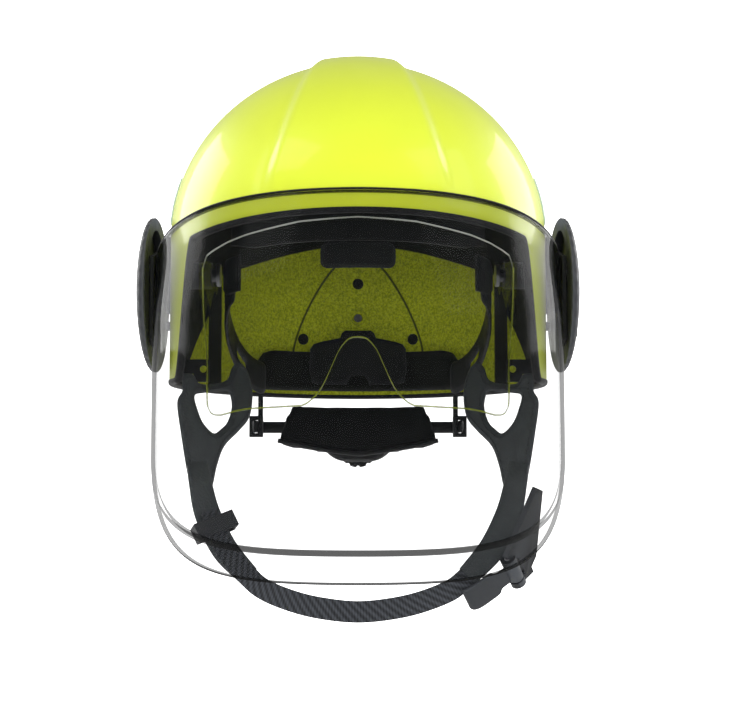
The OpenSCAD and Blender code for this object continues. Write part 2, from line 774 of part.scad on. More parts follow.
// straight guide that the nape rail slides through, hung from the side band's rear end
module nape_guide_left() {
  gap = 0.3;
  color([0.1, 0.1, 0.1])
    union() {
      difference() {
        translate([rail_x - 3, guide_y, rail_z - rail_h / 2 - 3])
          cube([rail_t + 6, guide_len, rail_h + 6]);
        translate([rail_x - gap, guide_y - 1, rail_z - rail_h / 2 - gap])
          cube([rail_t + 2 * gap, guide_len + 2, rail_h + 2 * gap]);
      }
      translate([rail_x - 3, guide_y + 3, rail_z + rail_h / 2 + 2.5])
        cube([3, 6, 14]);
    }
}

module rail_left() {
  difference() {
    translate([rail_x, 34, rail_z - rail_h / 2])
      cube([rail_t, 66, rail_h]);
    for (i = [0:4])
      translate([rail_x - 1, 64 + 3.5 * i, rail_z + rail_h / 2 - 1.5])
        cube([5, 1.6, 3]);
  }
}

module nape_frame() {
  color([0.1, 0.1, 0.1])
    union() {
      rail_left();
      on_right()
        rail_left();
      translate([-rail_x - rail_t, 97, rail_z - rail_h / 2])
        cube([2 * rail_x + 5, 3, rail_h]);
      translate([-30, 97, rail_z - 24])
        cube([60, 3, 22]);
    }
}

module nape_pad() {
  foot = nape_half_w + 3;
  color([0.07, 0.07, 0.07])
    loft([for (x = concat([-nape_half_w - 2], span(-nape_half_w, nape_half_w, 16),
      [nape_half_w + 2])) let(s = abs(x) / (nape_half_w + 2), y = nape_y - 8 * s * s + 12,
      h = abs(x) > nape_half_w ? 4 : 0, low = nape_top_z - nape_h + 6 * s * s)
      [[x, y + h - 12 + 2, nape_top_z - h], [x, y - 12 + h, nape_top_z - 5 - h],
      [x * foot / nape_half_w, y - 12 + h, low + 4],
      [x * foot / nape_half_w, y - 9 + h, low], [x * foot / nape_half_w, y, low],
      [x, y, nape_top_z - h]]]);
}

module ratchet_housing() {
  color([0.12, 0.12, 0.12])
    difference() {
      translate([-26, 86.6, rail_z - 27])
        cube([52, 10, 26]);
      translate([0, 92, rail_z - 14])
        rotate([-90, 0, 0])
          cylinder(r = 4.05, h = 10);
    }
}

module ratchet_knob() {
  color([0.08, 0.08, 0.08])
    translate([0, 0, rail_z - 14])
      rotate([-90, 0, 0])
        difference() {
          translate([0, 0, 100.4])
            cylinder(r = knob_r, h = 11);
          for (i = [0:11])
            rotate([0, 0, 30 * i])
              translate([knob_r + 1, 0, 100])
                cylinder(r = 2, h = 12);
        }
}

module reflective_strip_right() {
  on_right()
    reflective_strip_left();
}

module temple_bracket_right() {
  on_right()
    temple_bracket_left();
}

module side_band_right() {
  on_right()
    side_band_left();
}

module side_housing_right() {
  on_right()
    side_housing_left();
}

module pivot_bush_right() {
  on_right()
    pivot_bush_left();
}

module strap_anchor_right() {
  on_right()
    strap_anchor_left();
}

module visor_arm_right() {
  on_right()
    visor_arm_left();
}

module inner_arm_right() {
  on_right()
    inner_arm_left();
}

module nape_guide_right() {
  on_right()
    nape_guide_left();
}

outer_shell();
shell_edge_trim();
reflective_strip_left();
reflective_strip_right();
impact_liner();
crown_strap_long();
crown_strap_cross();
crown_pad();
brow_band();
brow_tab();
brow_pad();
temple_bracket_left();
temple_bracket_right();
side_band_left();
side_band_right();
rear_liner();
rear_plate();
rear_rivets();
rear_boss();
boss_screw();
side_housing_left();
side_housing_right();
side_cover_left();
side_cover_right();
pivot_bush_left();
pivot_bush_right();
pivot_bolt_right();
strap_anchor_left();
strap_anchor_right();
yoke_left();
yoke_right();
strap_adjuster();
chin_strap();
buckle_plate();
buckle_pin();
nape_guide_left();
nape_guide_right();
outer_visor();
visor_top_seal();
visor_arm_left();
visor_arm_right();
inner_visor();
inner_arm_left();
inner_arm_right();
inner_visor_shaft();
inner_visor_lever();
nape_frame();
nape_pad();
ratchet_housing();
ratchet_knob();
buckle_clip();
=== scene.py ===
import math

import bmesh
import bpy
import numpy as np
from mathutils import Matrix, Vector, geometry


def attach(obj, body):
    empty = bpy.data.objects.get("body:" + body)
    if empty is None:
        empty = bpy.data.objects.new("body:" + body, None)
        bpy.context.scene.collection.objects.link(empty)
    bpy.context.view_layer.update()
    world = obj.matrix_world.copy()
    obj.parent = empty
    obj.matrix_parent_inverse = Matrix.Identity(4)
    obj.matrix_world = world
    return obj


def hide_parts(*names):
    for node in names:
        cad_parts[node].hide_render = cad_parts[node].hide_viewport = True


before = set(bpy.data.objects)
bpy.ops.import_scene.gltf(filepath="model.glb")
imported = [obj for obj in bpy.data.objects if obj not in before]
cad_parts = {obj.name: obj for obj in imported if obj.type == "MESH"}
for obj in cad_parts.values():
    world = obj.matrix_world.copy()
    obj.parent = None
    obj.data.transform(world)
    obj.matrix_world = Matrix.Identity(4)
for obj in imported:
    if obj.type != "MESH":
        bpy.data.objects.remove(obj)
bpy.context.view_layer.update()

# sizes of the helmet in millimetres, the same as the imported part's own
helmet = {
    "halfWidth": 116, "front": 133, "rear": 143, "midY": 5,
    "domeZ": 32, "domeHeight": 110, "wall": 3.5,
    "browZ": 30.5, "browDrop": 6, "sideDrop": 79, "templeFrom": 54, "templeTo": 66,
    "pivotY": -3, "pivotZ": 12,
}


def ramp(low, high, value):
    share = min(max((value - low) / (high - low), 0), 1)
    return share * share * (3 - 2 * share)


def span(low, high, steps):
    return [low + (high - low) * i / steps for i in range(steps + 1)]


def sinDeg(angle):
    return math.sin(math.radians(angle))


def cosDeg(angle):
    return math.cos(math.radians(angle))


def turned(angle):
    # plan angle brought to between -180 and 180 degrees, 0 at the front
    return (angle + 180) % 360 - 180


def reach(angle):
    return helmet["front"] if cosDeg(angle) > 0 else helmet["rear"]


# a point on the shell's plan outline, inset inside its outer face
def wallAt(angle, inset, z):
    return ((helmet["halfWidth"] - inset) * sinDeg(angle),
            helmet["midY"] - (reach(angle) - inset) * cosDeg(angle), z)


def domeAt(angle, tilt, inset):
    return ((helmet["halfWidth"] - inset) * sinDeg(angle) * cosDeg(tilt),
            helmet["midY"] - (reach(angle) - inset) * cosDeg(angle) * cosDeg(tilt),
            helmet["domeZ"] + (helmet["domeHeight"] - inset) * sinDeg(tilt))


def edgeZ(angle):
    part = abs(turned(angle))
    return (helmet["browZ"]
            - helmet["browDrop"] * (min(part, helmet["templeFrom"]) / helmet["templeFrom"]) ** 2
            - helmet["sideDrop"] * ramp(helmet["templeFrom"], helmet["templeTo"], part)
            - 2.5 * ramp(helmet["templeTo"], 180, part))


# colours and nodes

def fromHex(code):
    # sRGB hex to the linear values that shaders work in
    parts = [int(code[i:i + 2], 16) / 255 for i in (0, 2, 4)]
    return tuple(c / 12.92 if c <= 0.04045 else ((c + 0.055) / 1.055) ** 2.4
                 for c in parts) + (1,)


def addNode(tree, kind, settings=None, links=None):
    made = tree.nodes.new(kind)
    for key, value in (settings or {}).items():
        if isinstance(key, str) and hasattr(made, key):
            setattr(made, key, value)
        else:
            made.inputs[key].default_value = value
    for key, source in (links or {}).items():
        tree.links.new(source, made.inputs[key])
    return made


def newMaterial(name, settings):
    made = bpy.data.materials.new(name)
    made.use_nodes = True
    tree = made.node_tree
    shader = tree.nodes["Principled BSDF"]
    for key, value in settings.items():
        shader.inputs[key].default_value = value
    return made, tree, shader


def perMm(size):
    # texture scale for a feature of this many millimetres, as the scene is in metres
    return 1000 / size


def bandsPerMm(size):
    # a wave texture's bands are 20 radians to the unit
    return math.tau * 1000 / (20 * size)


def twoTone(tree, place, dark, light, size, shader, detail=4):
    # blotchy shift between two close colours, as pigment and dust give
    cloud = addNode(tree, "ShaderNodeTexNoise", {"Scale": perMm(size), "Detail": detail},
                    {"Vector": place})
    mix = addNode(tree, "ShaderNodeMix",
                  {"data_type": "RGBA", 6: fromHex(dark), 7: fromHex(light)},
                  {0: cloud.outputs["Fac"]})
    tree.links.new(mix.outputs[2], shader.inputs["Base Color"])
    return mix.outputs[2]


def bumped(tree, height, depth, shader, socket="Normal"):
    # depth is in millimetres
    lift = addNode(tree, "ShaderNodeBump", {"Strength": 1.0, "Distance": depth / 1000},
                   {"Height": height})
    tree.links.new(lift.outputs["Normal"], shader.inputs[socket])


def variedRoughness(tree, place, low, high, size, shader):
    cloud = addNode(tree, "ShaderNodeTexNoise", {"Scale": perMm(size), "Detail": 5},
                    {"Vector": place})
    spread = addNode(tree, "ShaderNodeMapRange",
                     {"From Min": 0.3, "From Max": 0.7, "To Min": low, "To Max": high},
                     {"Value": cloud.outputs["Fac"]})
    tree.links.new(spread.outputs["Result"], shader.inputs["Roughness"])


def objectPlace(tree):
    return addNode(tree, "ShaderNodeTexCoord").outputs["Object"]


# glass-fibre shell sprayed with a fluorescent lime and a clear coat: deep gloss with a faint
# orange peel about 2 mm across
def lacqueredShell():
    made, tree, shader = newMaterial("lacqueredShell", {
        "Roughness": 0.42, "IOR": 1.5, "Coat Weight": 0.35, "Coat Roughness": 0.08,
        "Coat IOR": 1.5})
    place = objectPlace(tree)
    twoTone(tree, place, "CEDD26", "D8E62D", 45, shader)
    peel = addNode(tree, "ShaderNodeTexNoise", {"Scale": perMm(2.2), "Detail": 1},
                   {"Vector": place})
    bumped(tree, peel.outputs["Fac"], 0.02, shader)
    variedRoughness(tree, place, 0.38, 0.48, 30, shader)
    return made


# inside of the same moulding, lime gel coat left as it came off the mat: matt, with the ends
# of chopped strands showing as a speckle of about 1.5 mm. Over the crown and the sides it is
# sprayed black, and only the rear panel and a strip behind each temple stay bare
def rawMoulding():
    made, tree, shader = newMaterial("rawMoulding", {"IOR": 1.5, "Specular IOR Level": 0.2})
    place = objectPlace(tree)
    strands = addNode(tree, "ShaderNodeTexNoise",
                      {"Scale": perMm(1.5), "Detail": 3, "Roughness": 0.7}, {"Vector": place})
    speckle = addNode(tree, "ShaderNodeMapRange", {"From Min": 0.36, "From Max": 0.64},
                      {"Value": strands.outputs["Fac"]})
    mix = addNode(tree, "ShaderNodeMix",
                  {"data_type": "RGBA", 6: fromHex("A0AA10"), 7: fromHex("EAF638")},
                  {0: speckle.outputs["Result"]})
    parts = addNode(tree, "ShaderNodeSeparateXYZ", links={0: place}).outputs
    value = {"x": parts[0], "y": parts[1], "z": parts[2]}
    for name, operation, first, second in (
            ("arch", "MULTIPLY", "x", "x"), ("arch", "MULTIPLY", "arch", 3.4),
            ("crown", "ADD", "z", "arch"), ("crown", "SUBTRACT", "crown", 0.054),
            ("wide", "ABSOLUTE", "x", 0.0), ("wide", "SUBTRACT", "wide", 0.094),
            ("front", "SUBTRACT", 0.060, "y"), ("side", "MAXIMUM", "wide", "front"),
            ("stripFront", "SUBTRACT", 0.025, "y"), ("stripRear", "SUBTRACT", "y", 0.066),
            ("slope", "MULTIPLY", "y", 1.1), ("stripTop", "SUBTRACT", "z", "slope"),
            ("stripTop", "ADD", "stripTop", 0.0786),
            ("strip", "MAXIMUM", "stripFront", "stripRear"),
            ("strip", "MAXIMUM", "strip", "stripTop"),
            ("side", "MINIMUM", "side", "strip"), ("black", "MAXIMUM", "crown", "side")):
        settings, links = {"operation": operation}, {}
        for socket, item in enumerate((first, second)):
            if isinstance(item, str):
                links[socket] = value[item]
            else:
                settings[socket] = item
        value[name] = addNode(tree, "ShaderNodeMath", settings, links).outputs[0]
    sprayed = addNode(tree, "ShaderNodeMapRange", {"From Min": -0.0004, "From Max": 0.0004},
                      {"Value": value["black"]})
    over = addNode(tree, "ShaderNodeMix", {"data_type": "RGBA", 7: fromHex("11120D")},
                   {0: sprayed.outputs["Result"], 6: mix.outputs[2]})
    tree.links.new(over.outputs[2], shader.inputs["Base Color"])
    bumped(tree, strands.outputs["Fac"], 0.25, shader)
    variedRoughness(tree, place, 0.6, 0.85, 8, shader)
    return made


# moulded plastic or rubber: a satin skin with the tool's spark texture and worn edges
def moulded(name, dark, light, roughness, grain, depth, ior=1.5, wear=None, gloss=0.5):
    made, tree, shader = newMaterial(name, {"IOR": ior, "Specular IOR Level": gloss})
    place = objectPlace(tree)
    colour = twoTone(tree, place, dark, light, 18, shader)
    fine = addNode(tree, "ShaderNodeTexVoronoi", {"Scale": perMm(grain)}, {"Vector": place})
    bumped(tree, fine.outputs["Distance"], depth, shader)
    variedRoughness(tree, place, roughness - 0.07, roughness + 0.07, 9, shader)
    if wear:
        # handling polishes and pales the sharp edges
        edge = addNode(tree, "ShaderNodeMapRange",
                       {"From Min": 0.52, "From Max": 0.62, "To Min": 0.0, "To Max": 0.7},
                       {"Value": addNode(tree, "ShaderNodeNewGeometry").outputs["Pointiness"]})
        worn = addNode(tree, "ShaderNodeMix", {"data_type": "RGBA", 7: fromHex(wear)},
                       {0: edge.outputs["Result"], 6: colour})
        tree.links.new(worn.outputs[2], shader.inputs["Base Color"])
    return made


# glass-bead film in a 2.6 mm cell pattern, with a painted pale blue glow as emission so that it
# stays bright and slightly blue even edge on, standing in for the light that such film throws
# straight back
def beadedFilm():
    # the emission colour and strength are a painted glow, not a lamp
    made, tree, shader = newMaterial("beadedFilm", {
        "IOR": 1.5, "Coat Weight": 0.3, "Coat Roughness": 0.2,
        "Emission Color": fromHex("C9D9EA"), "Emission Strength": 0.45})
    place = objectPlace(tree)
    cells = addNode(tree, "ShaderNodeTexVoronoi",
                    {"Scale": perMm(2.6), "feature": "DISTANCE_TO_EDGE"}, {"Vector": place})
    walls = addNode(tree, "ShaderNodeMapRange",
                    {"From Min": 0.0, "From Max": 0.12, "To Min": 0.0, "To Max": 1.0},
                    {"Value": cells.outputs["Distance"]})
    mix = addNode(tree, "ShaderNodeMix",
                  {"data_type": "RGBA", 6: fromHex("AEBBC8"), 7: fromHex("E2EAF2")},
                  {0: walls.outputs["Result"]})
    tree.links.new(mix.outputs[2], shader.inputs["Base Color"])
    bumped(tree, walls.outputs["Result"], 0.08, shader)
    variedRoughness(tree, place, 0.25, 0.4, 12, shader)
    return made


# expanded foam moulded from 3 mm beads that still show on the skin
def beadFoam():
    made, tree, shader = newMaterial("beadFoam", {"IOR": 1.45})
    place = objectPlace(tree)
    beads = addNode(tree, "ShaderNodeTexVoronoi",
                    {"Scale": perMm(3.2), "feature": "SMOOTH_F1", "Smoothness": 0.3},
                    {"Vector": place})
    mix = addNode(tree, "ShaderNodeMix",
                  {"data_type": "RGBA", 6: fromHex("26272A"), 7: fromHex("141517")},
                  {0: beads.outputs["Distance"]})
    tree.links.new(mix.outputs[2], shader.inputs["Base Color"])
    bumped(tree, beads.outputs["Distance"], -0.4, shader)
    variedRoughness(tree, place, 0.75, 0.92, 10, shader)
    return made


# woven polyester webbing: 1.6 mm ribs across and a 45 degree twill, drawn a little coarser
# than the 1 mm yarn so that it shows; the coordinates run along and across the strap
def wovenWebbing(name, dark, light):
    made, tree, shader = newMaterial(name, {
        "IOR": 1.45, "Sheen Weight": 0.25, "Sheen Roughness": 0.5})
    along = addNode(tree, "ShaderNodeTexCoord").outputs["UV"]
    ribs = addNode(tree, "ShaderNodeTexWave",
                   {"bands_direction": "X", "Scale": bandsPerMm(1.6)}, {"Vector": along})
    twill = addNode(tree, "ShaderNodeTexWave",
                    {"bands_direction": "DIAGONAL", "Scale": bandsPerMm(2.4),
                     "Distortion": 0.4}, {"Vector": along})
    weave = addNode(tree, "ShaderNodeMath", {"operation": "MULTIPLY_ADD", 1: 0.6},
                    {0: ribs.outputs["Fac"], 2: twill.outputs["Fac"]})
    shade = addNode(tree, "ShaderNodeMapRange", {"From Min": 0.2, "From Max": 1.5},
                    {"Value": weave.outputs[0]})
    mix = addNode(tree, "ShaderNodeMix",
                  {"data_type": "RGBA", 6: fromHex(dark), 7: fromHex(light)},
                  {0: shade.outputs["Result"]})
    tree.links.new(mix.outputs[2], shader.inputs["Base Color"])
    bumped(tree, weave.outputs[0], 0.22, shader)
    variedRoughness(tree, along, 0.7, 0.85, 6, shader)
    return made


# knitted or napped cloth over foam: loops about 1.4 mm apart and a fuzz of fine fibres
def knittedCloth(name, dark, light, loop, sheen):
    made, tree, shader = newMaterial(name, {
        "IOR": 1.4, "Specular IOR Level": 0.25, "Sheen Weight": sheen, "Sheen Roughness": 0.45,
        "Sheen Tint": fromHex("C8CCD0")})
    place = objectPlace(tree)
    loops = addNode(tree, "ShaderNodeTexVoronoi",
                    {"Scale": perMm(loop), "feature": "SMOOTH_F1", "Smoothness": 0.4,
                     "Randomness": 0.35}, {"Vector": place})
    fuzz = addNode(tree, "ShaderNodeTexNoise", {"Scale": perMm(0.7), "Detail": 4},
                   {"Vector": place})
    cloth = addNode(tree, "ShaderNodeMath", {"operation": "MULTIPLY_ADD", 1: -0.8},
                    {0: loops.outputs["Distance"], 2: fuzz.outputs["Fac"]})
    mix = addNode(tree, "ShaderNodeMix",
                  {"data_type": "RGBA", 6: fromHex(dark), 7: fromHex(light)},
                  {0: fuzz.outputs["Fac"]})
    tree.links.new(mix.outputs[2], shader.inputs["Base Color"])
    bumped(tree, cloth.outputs[0], 0.35, shader)
    variedRoughness(tree, place, 0.82, 0.97, 14, shader)
    return made


# grained leather: pebbles of about 1.6 mm with fine pores, waxed so that the high points shine
def grainedLeather():
    made, tree, shader = newMaterial("grainedLeather", {
        "IOR": 1.48, "Sheen Weight": 0.12, "Sheen Roughness": 0.4})
    place = objectPlace(tree)
    pebbles = addNode(tree, "ShaderNodeTexVoronoi",
                      {"Scale": perMm(1.6), "feature": "SMOOTH_F1", "Smoothness": 0.25},
                      {"Vector": place})
    creases = addNode(tree, "ShaderNodeTexNoise",
                      {"Scale": perMm(9), "Detail": 7, "Roughness": 0.7}, {"Vector": place})
    relief = addNode(tree, "ShaderNodeMath", {"operation": "MULTIPLY_ADD", 1: -0.7},
                     {0: pebbles.outputs["Distance"], 2: creases.outputs["Fac"]})
    mix = addNode(tree, "ShaderNodeMix",
                  {"data_type": "RGBA", 6: fromHex("2A2D2F"), 7: fromHex("505557")},
                  {0: creases.outputs["Fac"]})
    tree.links.new(mix.outputs[2], shader.inputs["Base Color"])
    bumped(tree, relief.outputs[0], 0.3, shader)
    variedRoughness(tree, place, 0.5, 0.68, 5, shader)
    return made


# clear polycarbonate with a hard coat: each face holds back a little light when seen square
# on and mirrors far more at a slant
def clearSheet(name, colour, faceOn, slant, roughness, gloss=0.12):
    made, tree, shader = newMaterial(name, {
        "Base Color": fromHex(colour), "IOR": 1.585, "Specular IOR Level": gloss})
    place = objectPlace(tree)
    rim = addNode(tree, "ShaderNodeLayerWeight", {"Blend": 0.32})
    hold = addNode(tree, "ShaderNodeMapRange",
                   {"From Min": 0.42, "From Max": 0.92, "To Min": faceOn, "To Max": slant},
                   {"Value": rim.outputs["Facing"]})
    tree.links.new(hold.outputs["Result"], shader.inputs["Alpha"])
    # hairline wipe marks on the coat
    marks = addNode(tree, "ShaderNodeTexNoise",
                    {"Scale": perMm(14), "Detail": 8, "Roughness": 0.8}, {"Vector": place})
    haze = addNode(tree, "ShaderNodeMapRange",
                   {"From Min": 0.35, "From Max": 0.75, "To Min": roughness,
                    "To Max": roughness + 0.06}, {"Value": marks.outputs["Fac"]})
    tree.links.new(haze.outputs["Result"], shader.inputs["Roughness"])
    return made


# plated steel turned on a lathe: fine rings 0.5 mm apart
def turnedSteel():
    made, tree, shader = newMaterial("turnedSteel", {"Metallic": 1.0})
    place = objectPlace(tree)
    twoTone(tree, place, "9C9C9F", "B7B8BC", 6, shader)
    rings = addNode(tree, "ShaderNodeTexWave",
                    {"wave_type": "RINGS", "rings_direction": "X", "Scale": bandsPerMm(0.5)},
                    {"Vector": place})
    bumped(tree, rings.outputs["Fac"], 0.01, shader)
    variedRoughness(tree, place, 0.25, 0.42, 4, shader)
    return made


materials = {
    "shell": lacqueredShell(),
    "inside": rawMoulding(),
    # dark olive painted shade for the rib, standing in for the shadow in the groove round the rear
    # panel
    "rib": moulded("paintedGrooveShade", "4E540C", "626A12", 0.5, 2.2, 0.1),
    "trim": moulded("extrudedRubber", "0A0A0B", "131315", 0.5, 0.9, 0.04, gloss=0.3),
    "film": beadedFilm(),
    "foam": beadFoam(),
    "webbing": wovenWebbing("wovenWebbing", "1E2023", "474A50"),
    "cradle": wovenWebbing("cradleWebbing", "0C0C0D", "1E1F21"),
    "pad": knittedCloth("knittedCover", "090A0A", "161716", 1.4, 0.06),
    "lining": knittedCloth("nappedLining", "0B0C09", "171812", 1.1, 0.05),
    "band": moulded("mouldedNylon", "0C0D0D", "141514", 0.44, 0.7, 0.03, 1.53, "2C2E2F", 0.25),
    "disc": moulded("glassFilledNylon", "1D1F22", "2A2C30", 0.5, 0.8, 0.06, 1.53, "55575A", 0.4),
    "bush": moulded("greyNylon", "2C2D30", "3C3E41", 0.42, 0.8, 0.02, 1.53),
    "steel": turnedSteel(),
    "leather": grainedLeather(),
    "buckle": moulded("mouldedAcetal", "131417", "212327", 0.36, 0.8, 0.03, 1.48, "484B50"),
    "clip": moulded("glassFilledClip", "26282C", "34373B", 0.42, 0.7, 0.04, 1.5, "60646A"),
    "thread": moulded("waxedThread", "2C2E30", "45484A", 0.6, 0.4, 0.05),
    "visor": clearSheet("hardCoatedVisor", "0E1012", 0.19, 0.6, 0.03),
    "lens": clearSheet("hardCoatedLens", "20241E", 0.04, 0.42, 0.03),
    # near-black painted shade for the visor's cut edges and the lip's fold
    "visorEdge": clearSheet("visorEdgePaintedShade", "060707", 0.8, 0.95, 0.1, 0.1),
    # near-white painted highlight along the eye shield's top edge
    "lensTop": clearSheet("lensTopPaintedHighlight", "E6E9E2", 0.75, 0.95, 0.1, 0.5),
    # lime painted glow on the eye shield's other edges, standing in for the shell's light showing
    # in them
    "lensEdge": clearSheet("lensEdgePaintedGlow", "9CA83A", 0.6, 0.9, 0.1),
}
print("materials ready:", len(materials))


# meshes

def addPiece(name, points, faces, paint, body, stands=(), sharp=40, paintOf=None,
             bevel=0, uvs=None, merge=False):
    shape = bpy.data.meshes.new(name)
    shape.from_pydata([Vector(p) / 1000 for p in points], [], faces)
    if uvs:
        layer = shape.uv_layers.new(name="alongAcross")
        for loop in shape.loops:
            layer.data[loop.index].uv = uvs[loop.vertex_index]
    for item in paint:
        shape.materials.append(materials[item])
    if paintOf:
        shape.polygons.foreach_set("material_index", paintOf)
    piece = bpy.data.objects.new(name, shape)
    bpy.context.scene.collection.objects.link(piece)
    return settle(piece, body, stands, sharp, bevel, merge)


def settle(piece, body, stands=(), sharp=40, bevel=0, merge=False):
    edit = bmesh.new()
    edit.from_mesh(piece.data)
    if merge:
        bmesh.ops.remove_doubles(edit, verts=edit.verts, dist=1e-6)
        bmesh.ops.dissolve_degenerate(edit, edges=edit.edges, dist=1e-7)
    bmesh.ops.recalc_face_normals(edit, faces=edit.faces)
    edit.to_mesh(piece.data)
    edit.free()
    piece.data.shade_smooth()
    piece.data.set_sharp_from_angle(angle=math.radians(sharp))
    if bevel:
        round_ = piece.modifiers.new("roundedEdges", "BEVEL")
        round_.width = bevel / 1000
        round_.segments = 3
        round_.limit_method = "ANGLE"
        round_.angle_limit = math.radians(38)
        round_.use_clamp_overlap = True
    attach(piece, body)
    if stands:
        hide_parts(*stands)
    return piece


# closed sheet between an outer and an inner skin of points
def skinned(outer, inner, us, vs, ring=False, rims=(True, True)):
    across, count = len(vs), len(us) * len(vs)
    points = [outer(u, v) for u in us for v in vs] + [inner(u, v) for u in us for v in vs]
    faces, kinds = [], []
    for i in range(len(us) if ring else len(us) - 1):
        nextRow = ((i + 1) % len(us)) * across
        for j in range(across - 1):
            a, b = i * across + j, nextRow + j
            faces += [(a, b, b + 1, a + 1), (a + count, a + count + 1, b + count + 1, b + count)]
            kinds += [0, 1]
        for keep, j in zip(rims, (0, across - 1)):
            a, b = i * across + j, nextRow + j
            if keep:
                faces.append((a, b, b + count, a + count))
                kinds.append(2)
    if not ring:
        for start in (0, count - across):
            for j in range(start, start + across - 1):
                faces.append((j, j + 1, j + 1 + count, j + count))
                kinds.append(2)
    return points, faces, kinds


def smoothPath(points, steps):
    # curve through every point, each a row of numbers
    rows = np.array(points, float)
    ends = np.vstack([2 * rows[0] - rows[1], rows, 2 * rows[-1] - rows[-2]])
    made = []
    for i in range(1, len(ends) - 2):
        a, b, c, d = ends[i - 1:i + 3]
        for k in range(steps):
            t = k / steps
            made.append(0.5 * (2 * b + (c - a) * t + (2 * a - 5 * b + 4 * c - d) * t * t
                               + (3 * b - a - 3 * c + d) * t ** 3))
    return made + [ends[-2]]


def smoothLoop(points, steps):
    rows = [points[-1]] + list(points) + [points[0], points[1]]
    path = smoothPath(rows, steps)
    return path[steps:steps + len(points) * steps]


# strap or rod along centres, each with a half-width direction: a flat section with round edges
def ribbonMesh(path, thick, flatness=0.28, sides=20, bulge=0.6):
    centres = [np.array(p[:3]) for p in path]
    points, faces, uvs = [], [], []
    travel = 0
    for i, row in enumerate(path):
        width = np.array(row[3:6])
        along = centres[min(i + 1, len(path) - 1)] - centres[max(i - 1, 0)]
        out = np.cross(along, width)
        out = out / np.linalg.norm(out) * thick / 2
        if i:
            travel += np.linalg.norm(centres[i] - centres[i - 1])
        for k in range(sides):
            turn = math.tau * (k + 0.5) / sides
            c, s = math.cos(turn), math.sin(turn)
            u = math.copysign(abs(c) ** flatness, c)
            v = math.copysign(abs(s) ** bulge, s)
            points.append(centres[i] + width * u + out * v)
            uvs.append((travel / 1000, np.linalg.norm(width) * u / 1000))
    for i in range(len(path) - 1):
        for k in range(sides):
            a, b = i * sides + k, i * sides + (k + 1) % sides
            faces.append((a, b, b + sides, a + sides))
    last = (len(path) - 1) * sides
    faces += [tuple(range(sides)), tuple(range(last + sides - 1, last - 1, -1))]
    return points, faces, uvs


# round bead along a path
def beadMesh(path, radius, sides=8, closed=False):
    centres = [np.array(p[:3], float) for p in path]
    points, faces = [], []
    count = len(centres)
    guide = np.array((0.13, 0.31, 0.94))
    for i in range(count):
        before = centres[(i - 1) % count] if closed else centres[max(i - 1, 0)]
        after = centres[(i + 1) % count] if closed else centres[min(i + 1, count - 1)]
        along = (after - before) / np.linalg.norm(after - before)
        side = np.cross(along, guide)
        side = side / np.linalg.norm(side)
        guide = np.cross(side, along)
        size = radius[i] if isinstance(radius, list) else radius
        for k in range(sides):
            turn = math.tau * k / sides
            points.append(centres[i] + size * (side * math.cos(turn) + guide * math.sin(turn)))
    for i in range(count if closed else count - 1):
        for k in range(sides):
            a, b = i * sides + k, i * sides + (k + 1) % sides
            nextRow = ((i + 1) % count - i) * sides
            faces.append((a, b, b + nextRow, a + nextRow))
    if not closed:
        last = (count - 1) * sides
        faces += [tuple(range(sides)), tuple(range(last + sides - 1, last - 1, -1))]
    return points, faces


# solid of revolution; place takes radius cosine, radius sine and height
def latheMesh(profile, steps, place, flute=None):
    points, faces = [], []
    for k in range(steps):
        turn = math.tau * k / steps
        for radius, height in profile:
            size = flute(radius, height, turn) if flute else radius
            points.append(place(size * math.cos(turn), size * math.sin(turn), height))
    count = len(profile)
    for k in range(steps):
        nextRow = ((k + 1) % steps) * count
        for j in range(count - 1):
            a, b = k * count + j, nextRow + j
            faces.append((a, b, b + 1, a + 1))
    return points, faces


def inside(point, ring):
    hit = False
    for i in range(len(ring)):
        (x0, y0), (x1, y1) = ring[i - 1], ring[i]
        if (y0 > point[1]) != (y1 > point[1]):
            if point[0] < (x1 - x0) * (point[1] - y0) / (y1 - y0) + x0:
                hit = not hit
    return hit


